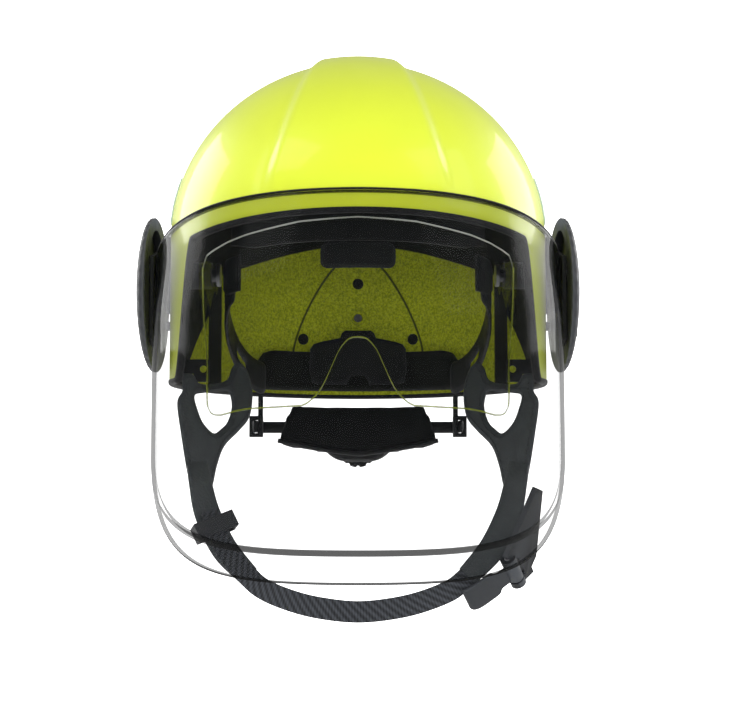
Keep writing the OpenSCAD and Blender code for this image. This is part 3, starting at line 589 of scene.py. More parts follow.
# flat cut plate with rounded edges, laid on a curved surface by place(v, w, height)
def plateMesh(outline, holes, place, thick, spacing, edge, lift=None):
    rings = [[tuple(p) for p in ring] for ring in [outline] + holes]
    verts, edges, starts, stops = [], [], [], []
    for ring in rings:
        first = len(verts)
        verts += ring
        edges += [(first + i, first + (i + 1) % len(ring)) for i in range(len(ring))]
        starts += ring
        stops += ring[1:] + ring[:1]
    a, b = np.array(starts, float), np.array(stops, float)

    def depth(p):
        ap = np.array(p) - a
        t = np.clip((ap * (b - a)).sum(1) / ((b - a) ** 2).sum(1), 0, 1)
        return float(np.sqrt(((ap - t[:, None] * (b - a)) ** 2).sum(1).min()))

    def within(p):
        return inside(p, rings[0]) and not any(inside(p, hole) for hole in rings[1:])

    low, high = np.array(rings[0]).min(0), np.array(rings[0]).max(0)
    row = 0
    w = low[1]
    while w < high[1]:
        v = low[0] + (row % 2) * spacing / 2
        while v < high[0]:
            if within((v, w)) and depth((v, w)) > spacing * 0.45:
                verts.append((v, w))
            v += spacing
        w += spacing * 0.87
        row += 1
    made = geometry.delaunay_2d_cdt([Vector(p) for p in verts], edges, [], 0, 1e-5, False)
    flat = [tuple(p) for p in made[0]]
    tris = [t for t in made[2]
            if within(tuple(sum(flat[i][k] for i in t) / 3 for k in (0, 1)))]
    deep = [depth(p) for p in flat]
    points, faces = [], []
    for side in (1, -1):
        for p, d in zip(flat, deep):
            share = 1 - (1 - min(d / edge, 1)) ** 2
            raised = thick / 2 * (0.25 + 0.75 * math.sqrt(share))
            if lift and side > 0:
                raised += lift(p, d)
            points.append(place(p[0], p[1], side * raised))
    count = len(flat)
    seen = {}
    for t in tris:
        faces.append(tuple(t))
        faces.append(tuple(count + i for i in reversed(t)))
        for i in range(3):
            pair = (t[i], t[(i + 1) % 3])
            seen[pair] = True
    for pair in seen:
        if (pair[1], pair[0]) not in seen:
            faces.append((pair[1], pair[0], count + pair[0], count + pair[1]))
    return points, faces


# a row of stitches just inside an outline
def stitchMesh(ring, inset, place, length, gap, radius, height, closed=True):
    rows = [np.array(p, float) for p in ring]
    area = sum(rows[i - 1][0] * rows[i][1] - rows[i][0] * rows[i - 1][1]
               for i in range(len(rows)))
    turn = 1 if area > 0 else -1
    line = []
    for i in range(len(rows)):
        along = rows[(i + 1) % len(rows)] - rows[i - 1]
        along = along / max(np.linalg.norm(along), 1e-9)
        line.append(rows[i] + turn * inset * np.array((-along[1], along[0])))
    if closed:
        line.append(line[0])
    marks, travel = [], 0
    points, faces = [], []
    run = [0]
    for i in range(1, len(line)):
        run.append(run[-1] + np.linalg.norm(line[i] - line[i - 1]))

    def at(s):
        return (np.interp(s, run, [p[0] for p in line]), np.interp(s, run, [p[1] for p in line]))

    s = gap
    while s + length < run[-1]:
        # each stitch dips into the leather at both ends
        path = []
        for k in range(5):
            p = at(s + length * k / 4)
            path.append(place(p[0], p[1], height - radius * 1.6 * abs(k / 2 - 1) ** 2))
        more, quads = beadMesh(path, radius, 6)
        base = len(points)
        points += more
        faces += [tuple(base + i for i in q) for q in quads]
        s += length + gap
    return points, faces


# a moulded part as packed, with its sharp edges rounded over
def fromPart(node, paint, bevel, body="helmet", name=None, sharp=40, cut=None):
    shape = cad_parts[node].data.copy()
    shape.materials.clear()
    shape.materials.append(materials[paint])
    piece = bpy.data.objects.new(name or node + "Moulded", shape)
    bpy.context.scene.collection.objects.link(piece)
    edit = bmesh.new()
    edit.from_mesh(shape)
    bmesh.ops.remove_doubles(edit, verts=edit.verts, dist=2e-6)
    bmesh.ops.dissolve_limit(edit, angle_limit=math.radians(1), verts=edit.verts,
                             edges=edit.edges)
    if cut:
        # a corner taken off square to the second vector
        found = bmesh.ops.bisect_plane(edit, geom=edit.verts[:] + edit.edges[:] + edit.faces[:],
                                       plane_co=cut[0] / 1000, plane_no=cut[1], clear_outer=True)
        bmesh.ops.holes_fill(edit, edges=[item for item in found["geom_cut"]
                                          if isinstance(item, bmesh.types.BMEdge)])
    for face in edit.faces:
        face.material_index = 0
    edit.to_mesh(shape)
    edit.free()
    return settle(piece, body, (node,), sharp, bevel)


def both(make):
    # left is the wearer's left, on the +X side
    for side, word in ((1, "left"), (-1, "right")):
        make(side, word)


def mirrored(points, side):
    return [(p[0] * side, p[1], p[2]) for p in points]


# closed loft through sections of equal point counts
def loftMesh(sections, closed=False):
    count = len(sections[0])
    points = [p for section in sections for p in section]
    faces = []
    for i in range(len(sections) if closed else len(sections) - 1):
        nextRow = ((i + 1) % len(sections)) * count
        for k in range(count):
            m = (k + 1) % count
            faces.append((i * count + k, nextRow + k, nextRow + m, i * count + m))
    if not closed:
        last = (len(sections) - 1) * count
        faces += [tuple(range(count)), tuple(range(last + count - 1, last - 1, -1))]
    return points, faces


# a padded cover is aired up as cloth from a slightly smaller form, then subdivided
def inflate(piece, cap, voxel=4.5, pressure=4):
    scene = bpy.context.scene
    even = piece.modifiers.new("evenFaces", "REMESH")
    even.mode = "VOXEL"
    even.voxel_size = voxel / 1000
    graph = bpy.context.evaluated_depsgraph_get()
    shape = bpy.data.meshes.new_from_object(piece.evaluated_get(graph))
    piece.modifiers.clear()
    paint = [m for m in piece.data.materials]
    piece.data = shape
    if not shape.materials:
        for item in paint:
            shape.materials.append(item)
    start = np.zeros(len(shape.vertices) * 3)
    shape.vertices.foreach_get("co", start)
    cloth = piece.modifiers.new("airedCover", "CLOTH")
    cloth.settings.quality = 4
    cloth.settings.use_pressure = True
    cloth.settings.uniform_pressure_force = pressure
    cloth.settings.effector_weights.gravity = 0
    for step in range(1, 21):
        scene.frame_set(step)
    graph = bpy.context.evaluated_depsgraph_get()
    aired = piece.evaluated_get(graph).to_mesh()
    after = np.zeros(len(shape.vertices) * 3)
    aired.vertices.foreach_get("co", after)
    piece.evaluated_get(graph).to_mesh_clear()
    piece.modifiers.clear()
    scene.frame_set(1)
    move = (after - start).reshape(-1, 3)
    far = np.linalg.norm(move, axis=1, keepdims=True)
    move *= np.minimum(1, cap / 1000 / np.maximum(far, 1e-9))
    shape.vertices.foreach_set("co", (start + move.ravel()).astype(np.float32))
    shape.update()
    finer = piece.modifiers.new("finer", "SUBSURF")
    finer.levels = finer.render_levels = 1
    shape.shade_smooth()
    return piece


# stand-in studio: pale table, soft boxes and the view

studio = {"floorZ": -195, "lens": 59.63, "eye": (0, -748.2, -90.8), "pitch": 4,
          "shift": 0.0089}


def buildStudio():
    scene = bpy.context.scene
    scene.view_settings.view_transform = "Standard"
    eye = bpy.data.cameras.new("view")
    eye.lens = studio["lens"]
    eye.sensor_width = 36
    eye.shift_x = studio["shift"]
    holder = bpy.data.objects.new("view", eye)
    holder.location = Vector(studio["eye"]) / 1000
    holder.rotation_euler = (math.radians(90 + studio["pitch"]), 0, 0)
    scene.collection.objects.link(holder)
    scene.camera = holder

    # paper-white room: even light on the helmet, and blown out where it is seen directly
    world = bpy.data.worlds.new("paperRoom")
    world.use_nodes = True
    tree = world.node_tree
    tree.nodes.clear()
    lit = addNode(tree, "ShaderNodeBackground", {"Color": (1, 1, 1, 1), "Strength": 0.5})
    seen = addNode(tree, "ShaderNodeBackground", {"Color": (1, 1, 1, 1), "Strength": 2.6})
    path = addNode(tree, "ShaderNodeLightPath")
    mix = addNode(tree, "ShaderNodeMixShader", None,
                  {0: path.outputs["Is Camera Ray"], 1: lit.outputs[0], 2: seen.outputs[0]})
    addNode(tree, "ShaderNodeOutputWorld", None, {"Surface": mix.outputs[0]})
    scene.world = world

    # opal acrylic light table, lit from under so that shadows on it stay pale
    shape = bpy.data.meshes.new("lightTable")
    size = 3
    shape.from_pydata([(-size, -size, 0), (size, -size, 0), (size, size, 0), (-size, size, 0)],
                      [], [(0, 1, 2, 3)])
    table = bpy.data.objects.new("lightTable", shape)
    table.location = (0, 0, studio["floorZ"] / 1000)
    scene.collection.objects.link(table)
    opal, tree, shader = newMaterial("opalAcrylic", {
        "Base Color": fromHex("F4F4F4"), "Roughness": 0.6, "Specular IOR Level": 0.2})
    glow = addNode(tree, "ShaderNodeEmission", {"Color": (1, 1, 1, 1), "Strength": 3.0})
    path = addNode(tree, "ShaderNodeLightPath")
    seen = addNode(tree, "ShaderNodeMixShader", {0: 0.0},
                   {1: shader.outputs[0], 2: glow.outputs[0]})
    share = addNode(tree, "ShaderNodeMath", {"operation": "MULTIPLY", 1: 0.9},
                    {0: path.outputs["Is Camera Ray"]})
    tree.links.new(share.outputs[0], seen.inputs[0])
    tree.links.new(seen.outputs[0], tree.nodes["Material Output"].inputs["Surface"])
    shape.materials.append(opal)

    boxes = {
        "keyBox": {"at": (-1.2, -0.9, 1.1), "size": 1.1, "power": 7.5},
        "fillBox": {"at": (1.3, -0.8, 0.8), "size": 1.2, "power": 6.5},
        "rimBoxLeft": {"at": (-1.2, 0.7, 0.5), "size": 0.9, "power": 11},
        "rimBoxRight": {"at": (1.2, 0.7, 0.5), "size": 0.9, "power": 10},
        "faceBox": {"at": (0.0, -0.95, -0.1), "size": 0.3, "power": 5.2},
    }
    for name, box in boxes.items():
        lamp = bpy.data.lights.new(name, "AREA")
        lamp.size = box["size"]
        lamp.energy = box["power"]
        holder = bpy.data.objects.new(name, lamp)
        holder.location = box["at"]
        holder.rotation_euler = (Vector((0, 0, 0)) - Vector(box["at"])).to_track_quat(
            "-Z", "Y").to_euler()
        # the small light by the lens isn't mirrored in the visor
        holder.visible_glossy = name != "faceBox"
        scene.collection.objects.link(holder)


buildStudio()
print("studio ready")


# shell

shell = {"columnStep": 1.0, "lowRows": 12, "tiltStep": 1.8, "crestHeight": 3.5,
         "crestTop": 22, "crestBrow": 52, "creaseIn": 5.0, "creaseOut": 4.0}


def crestLift(p, tilt):
    drop = (helmet["domeZ"] + helmet["domeHeight"] - p[2]) / helmet["domeHeight"]
    width = shell["crestTop"] + (shell["crestBrow"] - shell["crestTop"]) * drop
    return shell["crestHeight"] * ramp(0, 14, tilt) * (
        1 - ramp(width - shell["creaseIn"], width + shell["creaseOut"], abs(p[0])))


def ringAngles(step):
    # closer together where the edge drops at the temples
    fine = span(helmet["templeFrom"] - 1, helmet["templeTo"] + 3, int(16 / (step * 0.6)))
    half = ([a * step for a in range(int(fine[0] / step) + 1) if a * step < fine[0] - 0.2]
            + fine + [a for a in span(fine[-1], 180, int((180 - fine[-1]) / step))[1:]])
    return half + [-a for a in reversed(half[1:-1])]


def buildShell():
    tilts = [0] + [t for t in np.arange(shell["tiltStep"], 89, shell["tiltStep"])] + [90]
    rows = [i / shell["lowRows"] for i in range(shell["lowRows"])] + [1 + t for t in tilts]

    def skin(inset):
        def at(angle, row):
            if row < 1:
                low = edgeZ(angle)
                return wallAt(angle, inset, low + (helmet["domeZ"] - low) * row)
            tilt = row - 1
            if inset:
                return domeAt(angle, tilt, inset)
            return domeAt(angle, tilt, -crestLift(domeAt(angle, tilt, 0), tilt))
        return at

    points, faces, kinds = skinned(skin(0), skin(helmet["wall"]),
                                   ringAngles(shell["columnStep"]), rows, True, (True, False))
    addPiece("shellDome", points, faces, ("shell", "inside", "trim"), "helmet",
             ("outer_shell",), 50, kinds, merge=True)


def buildTrim():
    # extruded rubber lip over the raw edge, square to it where it is steep
    drop, proud = 3.0, 0.6
    perDegree = (helmet["halfWidth"] + helmet["front"]) / 2 * math.pi / 180
    sections = []
    for angle in ringAngles(1.0):
        part = abs(turned(angle))
        slope = (edgeZ(part + 0.5) - edgeZ(part - 0.5)) / perDegree
        run = math.sqrt(1 + slope * slope)
        side = -1 if turned(angle) < 0 else 1
        section = []
        for k in range(13):
            turn = math.pi * k / 12
            across = helmet["wall"] / 2 - (helmet["wall"] / 2 + proud) * math.cos(turn)
            deep = drop * (math.sin(turn) ** 0.6)
            shift = side * (part + deep * slope / run / perDegree)
            section.append(wallAt(shift, across, edgeZ(part) + 0.4 - deep / run))
        sections.append(section)
    points, faces = loftMesh(sections, True)
    addPiece("edgeTrim", points, faces, ("trim",), "helmet",
             ("shell_edge_trim",), 60)


def roundedRect(halfWidth, low, high, radius, steps=6):
    corners = ((halfWidth - radius, high - radius, 0), (-halfWidth + radius, high - radius, 90),
               (-halfWidth + radius, low + radius, 180), (halfWidth - radius, low + radius, 270))
    return [(x + radius * cosDeg(a + 90 * k / steps), y + radius * sinDeg(a + 90 * k / steps))
            for x, y, a in corners for k in range(steps + 1)]


def evenRing(ring, gap):
    # the same outline with points at most gap apart
    made = []
    for i in range(len(ring)):
        a, b = np.array(ring[i - 1], float), np.array(ring[i], float)
        parts = max(1, int(np.linalg.norm(b - a) / gap))
        made += [tuple(a + (b - a) * k / parts) for k in range(parts)]
    return made


def buildStrips():
    outline = evenRing(roundedRect(24, -14.5, 14.5, 4), 2.5)

    def make(side, word):
        def place(v, w, height):
            return domeAt(side * (87 + v / 2.35), 13 + w / 1.95, -0.75 - height)
        points, faces = plateMesh(outline, [], place, 0.8, 2.4, 0.6)
        addPiece("reflective" + word.capitalize(), points, faces, ("film",), "helmet",
                 ("reflective_strip_" + word,), 50)
    both(make)


def archRib():
    # a bead moulded round the rear panel inside the shell, dark olive as a painted shade for the
    # shadowed groove line there
    half = [(47.4, -34), (47, -22.6), (43, -8.4), (35.6, 9.4), (26, 26.6), (17, 38.5), (6, 46.5)]
    path = [(-x, z) for x, z in half] + [(x, z) for x, z in reversed(half)]
    inner = helmet["wall"] - 0.3
    points = []
    for x, z in smoothPath(path, 6):
        angle = 180 - math.degrees(math.asin(x / (helmet["halfWidth"] - inner)))
        if z > helmet["domeZ"]:
            tilt = math.degrees(math.asin((z - helmet["domeZ"]) / (helmet["domeHeight"] - inner)))
            angle = 180 - math.degrees(math.asin(x / (helmet["halfWidth"] - inner) / cosDeg(tilt)))
            points.append(domeAt(angle, tilt, inner))
        else:
            points.append(wallAt(angle, inner, z))
    mesh = beadMesh(points, 0.9, 10)
    addPiece("panelRib", mesh[0], mesh[1], ("rib",), "helmet", (), 60)


buildShell()
buildTrim()
buildStrips()
archRib()
print("shell built")


# liner and cradle

cradle = {"linerIn": 3.9, "linerThick": 21.5, "linerLow": 58, "pocket": 14, "lift": 1.6,
          "strapThick": 2, "bandIn": 27, "bandThick": 2.9, "gap": 0.4}


def buildLiner():
    first = math.degrees(math.asin((cradle["linerLow"] - helmet["domeZ"])
                                   / (helmet["domeHeight"] - cradle["linerIn"])))
    rows = span(first, 84, 22) + [90]

    def outer(angle, tilt):
        cut = cradle["pocket"] * (1 - ramp(70, 86, abs(turned(angle)))) * (1 - ramp(60, 68, tilt))
        return domeAt(angle, tilt, cradle["linerIn"] + cut)

    def inner(angle, tilt):
        # shallow ribs left between the vent channels on the underside
        rib = 0.9 * (0.5 + 0.5 * math.cos(math.radians(angle * 12))) * ramp(2, 30, 88 - tilt)
        return domeAt(angle, tilt, cradle["linerIn"] + cradle["linerThick"] - rib)

    points, faces, kinds = skinned(outer, inner, span(0, 357.5, 143), rows, True, (True, False))
    addPiece("impactLiner", points, faces, ("foam",), "helmet",
             ("impact_liner",), 40, merge=True)


def buildCrownStraps():
    near = cradle["linerIn"] + cradle["linerThick"] + cradle["lift"] + 1
    path = []
    for t in span(18, 162, 72):
        p = domeAt(0 if t < 90 else 180, t if t < 90 else 180 - t, near)
        path.append((p[0], p[1], p[2], 12, 0, 0))
    points, faces, uvs = ribbonMesh(path, cradle["strapThick"] * 0.9, 0.2)
    addPiece("crownStrapLong", points, faces, ("cradle",), "helmet",
             ("crown_strap_long",), 50, uvs=uvs)
    near += cradle["lift"] + cradle["strapThick"]
    path = []
    for t in span(22, 158, 68):
        p = domeAt(90 if t < 90 else -90, t if t < 90 else 180 - t, near)
        path.append((p[0], p[1], p[2], 0, 12, 0))
    points, faces, uvs = ribbonMesh(path, cradle["strapThick"] * 0.9, 0.2)
    addPiece("crownStrapCross", points, faces, ("cradle",), "helmet",
             ("crown_strap_cross",), 50, uvs=uvs)


def buildCrownPad():
    near = cradle["linerIn"] + cradle["linerThick"] + 3 * cradle["lift"] + 2 * 2 + 1
    points, faces, kinds = skinned(
        lambda a, t: domeAt(a, t, near), lambda a, t: domeAt(a, t, near + 5),
        span(0, 350, 35), [70, 73, 77, 81, 85, 90], True, (True, False))
    piece = addPiece("crownPad", points, faces, ("pad",), "helmet",
                     ("crown_pad",), 60, merge=True)
    inflate(piece, 1.2, 3.0)


def wallBand(near, deep, low, high, angles, rows):
    return skinned(
        lambda a, v: wallAt(a, near, low(a) + (high(a) - low(a)) * v),
        lambda a, v: wallAt(a, deep, low(a) + (high(a) - low(a)) * v), angles, span(0, 1, rows))


def buildBrow():
    near, thick = cradle["bandIn"], cradle["bandThick"]
    points, faces, kinds = wallBand(near, near + thick, lambda a: 18 + 4 * ramp(40, 56, abs(a)),
                                    lambda a: 46 - 5 * ramp(40, 56, abs(a)),
                                    span(-56, 56, 80), 6)
    addPiece("browBand", points, faces, ("band",), "helmet", ("brow_band",),
             40, bevel=0.9)
    deep = near + thick + cradle["gap"] + 0.8

    def place(v, w, height):
        return wallAt(v / 1.5, deep + height, w)
    outline = evenRing(roundedRect(21, 3.4, 17.5, 4), 1.6)
    points, faces = plateMesh(outline, [], place, 1.5, 1.8, 0.8)
    addPiece("browTab", points, faces, ("band",), "helmet", ("brow_tab",), 45)
    near = near + thick + cradle["gap"] + 0.8
    points, faces, kinds = wallBand(near, near + 5.4, lambda a: 19.6, lambda a: 42.6,
                                    span(-51.5, 51.5, 50), 6)
    piece = addPiece("browPad", points, faces, ("pad",), "helmet",
                     ("brow_pad",), 60)
    inflate(piece, 1.3, 3.2)


def buildSides():
    near = cradle["bandIn"] + cradle["bandThick"] + cradle["gap"]
    sideIn, sideThick = 33, 2.5

    def middle(a):
        return 2 - 50 * ramp(62, 130, a)

    def make(side, word):
        points, faces, kinds = wallBand(near, sideIn - cradle["gap"],
                                        lambda a: -4 + 3 * ramp(66, 71, a),
                                        lambda a: 17 - 4 * ramp(66, 71, a),
                                        span(54, 71, 12), 5)
        addPiece("templeBracket" + word.capitalize(), mirrored(points, side), faces, ("band",),
                 "helmet", ("temple_bracket_" + word,), 40, bevel=0.8)

        # two adjusting slots run along the arm
        def place(v, w, height):
            a = 63 + v / 1.75
            return tuple(np.array(wallAt(a, sideIn + sideThick / 2 - height, middle(a) + w))
                         * np.array((side, 1, 1)))
        outline = evenRing([(p[0] + 58.5, p[1]) for p in roundedRect(58, -10.8, 10.8, 5)], 2.2)
        slots = [evenRing([(p[0] + c, p[1]) for p in roundedRect(9, -2.2, 2.2, 2.1, 4)], 1.6)
                 for c in (30, 82)]
        points, faces = plateMesh(outline, slots, place, sideThick, 2.3, 1.0)
        addPiece("sideBand" + word.capitalize(), points, faces, ("band",), "helmet",
                 ("side_band_" + word,), 45)
    both(make)


def buildRear():
    # quilted lining pad low round the back of the head
    near = helmet["wall"] + cradle["gap"] + 1.2
    points, faces, kinds = wallBand(near, near + 12.6, lambda a: -54.5,
                                    lambda a: -25.5 - 22 * ramp(36, 50, abs(a - 180)),
                                    span(129, 231, 70), 8)
    piece = addPiece("rearLining", points, faces, ("lining",), "helmet",
                     ("rear_liner",), 60)
    inflate(piece, 1.6, 4.0)

    deep = helmet["wall"] + 16 + 2 * cradle["gap"] + 1.6

    def place(v, w, height):
        return wallAt(180 - v / 1.66, deep + height, w)
    half = [(0, -10.4), (9.5, -10.4), (12, -12.5), (13.2, -16), (20, -17.4), (27.5, -19),
            (33, -21), (35.5, -24.5), (35.8, -40), (34, -48.5), (30, -49.8), (8, -49.8),
            (7, -46.5), (4.5, -43.6), (0, -42.6)]
    outline = half + [(-x, z) for x, z in reversed(half[1:-1])]
    points, faces = plateMesh(evenRing(outline, 1.8), [], place, 2.8, 2.2, 1.3)
    addPiece("rearPlate", points, faces, ("band",), "helmet", ("rear_plate",), 45)

    # domed press rivets
    shapes = ([], [])
    for angle, z in ((180, 26), (159, -16), (201, -16)):
        centre = np.array(wallAt(angle, helmet["wall"] - 0.2, z))
        inward = np.array((0, helmet["midY"], z)) - centre
        inward = inward / np.linalg.norm(inward)
        across = np.cross(inward, (0, 0, 1))

        def seat(c, s, height, centre=centre, inward=inward, across=across):
            return centre + across * c + np.array((0, 0, s)) + inward * height
        profile = [(0.01, 0), (4, 0), (4.1, 0.5), (3.9, 1.0), (3.2, 1.6), (2.2, 1.95),
                   (1.9, 1.8), (0.9, 1.75), (0.01, 1.8)]
        points, faces = latheMesh(profile, 28, seat)
        faces = [tuple(len(shapes[0]) + i for i in face) for face in faces]
        shapes[0].extend(points)
        shapes[1].extend(faces)
    addPiece("pressRivets", shapes[0], shapes[1], ("band",), "helmet",
             ("rear_rivets",), 40, merge=True)
    fromPart("rear_boss", "inside", 0.5)
    fromPart("boss_screw", "steel", 0.25)


buildLiner()
buildCrownStraps()
buildCrownPad()
buildBrow()
buildSides()
buildRear()
print("cradle built")


# side discs

disc = {"radius": 48, "inner": 124.9, "face": 133, "grips": 36}


def buildDiscs():
    r = disc["radius"]
    profile = [(28, 0), (r - 0.8, 0), (r, 0.6), (r, 2), (r - 0.3, 2.8), (r - 0.9, 3.4),
               (r - 2, 4), (r - 3.4, 4.6), (r - 5.6, 5.3), (r - 8, 5.9), (r - 10, 6.35),
               (r - 10.8, 6.2), (r - 11.4, 5.7), (r - 12.4, 5.9), (r - 13, 6.8), (r - 14, 7.1),
               (r - 17.5, 7.6), (r - 21, 7.85), (r - 24, 8.05), (17, 8.1), (16.4, 7.4),
               (15.4, 7.4), (14.8, 8), (14, 8.1), (5.6, 8.1), (4.6, 7.9), (4.2, 7.4),
               (4.2, 5.1), (28, 5.1), (28, 0)]

    def make(side, word):
        def seat(c, s, height):
            # the hub sits over the pivot, ahead of and above the disc's middle
            far = math.hypot(c, s)
            share = 1 if height < 5.2 and far < 29 else 1 - ramp(7, 38, far)
            return (side * (disc["inner"] + height), c + share * helmet["pivotY"],
                    s + share * helmet["pivotZ"])

        def grip(radius, height, turn):
            # shallow finger grips round the rim
            dip = 0.5 + 0.5 * math.cos(turn * disc["grips"])
            return radius - 0.7 * dip * ramp(r - 2.5, r - 0.5, radius) * ramp(1, 2.4, height)
        points, faces = latheMesh(profile, 288, seat, grip)
        if side < 0:
            faces = [tuple(reversed(face)) for face in faces]
        for y, z in ((38, 6), (35, -16), (29, 26)):
            base = helmet["halfWidth"] * math.sqrt(
                1 - ((y - helmet["midY"]) / helmet["rear"]) ** 2) + 0.4
            peg = [(0.01, base), (2.5, base), (3, base + 0.5), (3, disc["inner"] + 1),
                   (0.01, disc["inner"] + 1)]
            more, quads = latheMesh(
                peg, 20, lambda c, s, h, y=y, z=z: (side * h, y + c, z + s))
            faces += [tuple(len(points) + i for i in q) for q in quads]
            points += more
        addPiece("sideDisc" + word.capitalize(), points, faces, ("disc",), "helmet",
                 ("side_cover_" + word,), 35, merge=True)
        fromPart("side_housing_" + word, "disc", 0.4)
        fromPart("pivot_bush_" + word, "bush", 0.4)
        fromPart("strap_anchor_" + word, "band", 0.6)
        fromPart("visor_arm_" + word, "band", 0.4, "outer_visor")
        fromPart("nape_guide_" + word, "band", 0.6)
    both(make)
    fromPart("pivot_bolt_right", "steel", 0.3)
    fromPart("inner_visor_shaft", "steel", 0.3, "inner_visor")
    fromPart("inner_visor_lever", "buckle", 0.6, "inner_visor")


buildDiscs()
print("discs built")


# visors

visor = {"halfWidth": 123.5, "sideX": 122, "reach": 143, "wall": 2.5, "topZ": 36, "dip": 28,
         "creaseZ": -146, "lowZ": -162, "cornerY": -45, "cornerZ": -102,
         "columns": 150, "rows": 30}


def visorPlan(p, inset, square):
    power = 2 / square
    x = min((visor["halfWidth"] - inset) * abs(sinDeg(p)) ** power, visor["sideX"] - inset)
    y = helmet["pivotY"] - (visor["reach"] - inset) * abs(cosDeg(p)) ** power
    return (-x if p < 0 else x, y)


def visorTop(y):
    back = max(y - helmet["pivotY"] + visor["reach"], 0) / visor["reach"]
    return visor["topZ"] - visor["dip"] * back ** 1.7


def visorShare(y):
    return max(y + 150, 0) / (visor["cornerY"] + 150)


def visorCrease(y):
    return visor["creaseZ"] + (visor["cornerZ"] - visor["creaseZ"]) * visorShare(y) ** 1.8


def visorLow(y):
    return visor["lowZ"] + (visor["cornerZ"] - visor["lowZ"]) * visorShare(y) ** 1.9


def visorAt(s, t, inset):
    # past 1, t runs down the turned lip
    row = min(t, 1)
    backY = -14 + (visor["cornerY"] + 14) * row
    # the plan is rounder along the top edge
    square = 1.95 + 0.35 * ramp(0, 0.35, row)
    end = math.degrees(math.acos(((helmet["pivotY"] - backY) / visor["reach"]) ** (square / 2)))
    q, p = visorPlan(s * end, 0, square), visorPlan(s * end, inset, square)
    top = visorTop(q[1])
    z = top + (visorCrease(q[1]) - top) * row
    bulge = 1 + 0.035 * (1 - ((z + 55) / 92) ** 2)
    out = p[1] - helmet["pivotY"]
    y = helmet["pivotY"] + out * (1 + (bulge - 1) * abs(out / visor["reach"]) ** 0.5)
    if t > 1:
        drop = (visorCrease(q[1]) - visorLow(q[1]) + 0.6) * (t - 1)
        y, z = y + 0.44 * drop, z - drop
    return (p[0], y, z)


def buildVisor():
    rows = [0, 0.006] + span(0.02, 0.985, visor["rows"]) + [0.993, 1, 1.12] + [
        1.4, 1.7, 1.93, 2]
    edge = len(rows) - 1
    columns = [-1, -0.994] + span(-0.985, 0.985, visor["columns"]) + [0.994, 1]
    points, faces, kinds = skinned(lambda s, t: visorAt(s, t, 0),
                                   lambda s, t: visorAt(s, t, visor["wall"]), columns, rows)
    # the faces beside a cut edge or the lip's fold get a painted shade, a near-black sheet
    # standing in for the light that is bent away in them
    shade = []
    per = 2 * edge + 2
    for index in range(len(faces)):
        column, place = divmod(index, per)
        row = place // 2
        dark = (kinds[index] == 2 or row in (0, edge - 1, len(rows) - 6, len(rows) - 7)
                or column in (0, len(columns) - 2))
        shade.append(1 if dark and column < len(columns) - 1 or kinds[index] == 2 else 0)
    addPiece("faceVisor", points, faces, ("visor", "visorEdge"), "outer_visor",
             ("outer_visor",), 14, shade)

    # dark rubber bead along the top edge
    path = []
    for s in span(-0.86, 0.86, 120):
        p, q = visorAt(s, 0, 0), visorAt(s, 0, visor["wall"])
        path.append(((p[0] + q[0]) / 2, (p[1] + q[1]) / 2, p[2] + 1,
                     (p[0] - q[0]) / 2, (p[1] - q[1]) / 2, 0))
    points, faces, uvs = ribbonMesh(path, 1.1, 0.5, 12, 0.7)
    addPiece("visorTopBead", points, faces, ("trim",), "outer_visor",
             ("visor_top_seal",), 60)


lens = {"halfWidth": 88, "wall": 2.3, "gap": 3, "sideGap": 2.2, "columns": 132, "rows": 26,
        "low": [(0, -36), (3, -36.2), (5, -37), (7, -38.8), (9, -41.2), (11, -44.4), (13, -48.8),
                (15, -53), (17, -57.2), (19, -61), (22, -65.2), (25, -68), (28, -70.2),
                (31, -71.5), (46, -72.1), (61, -72.6), (70, -73.8), (80, -76), (84, -75.8),
                (86, -74.6), (88, -70)],
        "top": [(0, 27), (31, 25.5), (61, 21), (72, 18.4), (80, 15.6), (85, 13.4), (85.8, 12.6),
                (86.4, 7.6), (88, 6.8)]}


def lensRadius(x, z):
    s = x / lens["halfWidth"]
    y = helmet["midY"] - (helmet["front"] - helmet["wall"]) * math.sqrt(
        1 - (x / (helmet["halfWidth"] - helmet["wall"])) ** 2)
    return (math.hypot(helmet["pivotY"] - y, helmet["domeZ"] - helmet["pivotZ"])
            - lens["gap"] - lens["sideGap"] * s * s + 26 * s ** 4 * ramp(-35, -80, z))


def lensAt(x, z, inset):
    around = lensRadius(x, z) - inset
    return (x, helmet["pivotY"] - math.sqrt(around ** 2 - (z - helmet["pivotZ"]) ** 2), z)


def buildLens():
    lows, tops = zip(*lens["low"]), zip(*lens["top"])
    lowX, lowZ = lows
    topX, topZ = tops

    def height(x, t):
        top, low = np.interp(abs(x), topX, topZ), np.interp(abs(x), lowX, lowZ)
        return float(top + (low - top) * t)
    half = lens["halfWidth"]
    columns = ([-half, -half + 0.8] + span(-half + 2, half - 2, lens["columns"])
               + [half - 0.8, half])
    rows = [0, 0.005] + span(0.03, 0.97, lens["rows"]) + [0.99, 1]
    points, faces, kinds = skinned(lambda x, t: lensAt(x, height(x, t), 0),
                                   lambda x, t: lensAt(x, height(x, t), lens["wall"]),
                                   columns, rows)
    shade = []
    per = 2 * (len(rows) - 1) + 2
    for index in range(len(faces)):
        column, place = divmod(index, per)
        row = place // 2
        dark = row in (0, len(rows) - 2) or column in (0, len(columns) - 2)
        # the top edge gets a near-white painted highlight for the sky it catches, and the other
        # edges a painted lime glow for the shell's light showing in them
        shade.append((2 if row == 0 and 0 < column < len(columns) - 2 else 1)
                     if kinds[index] == 2 or dark else 0)
    addPiece("eyeShield", points, faces, ("lens", "lensEdge", "lensTop"), "inner_visor",
             ("inner_visor",), 30, shade)
    for word in ("left", "right"):
        fromPart("inner_arm_" + word, "lens", 0.5, "inner_visor")


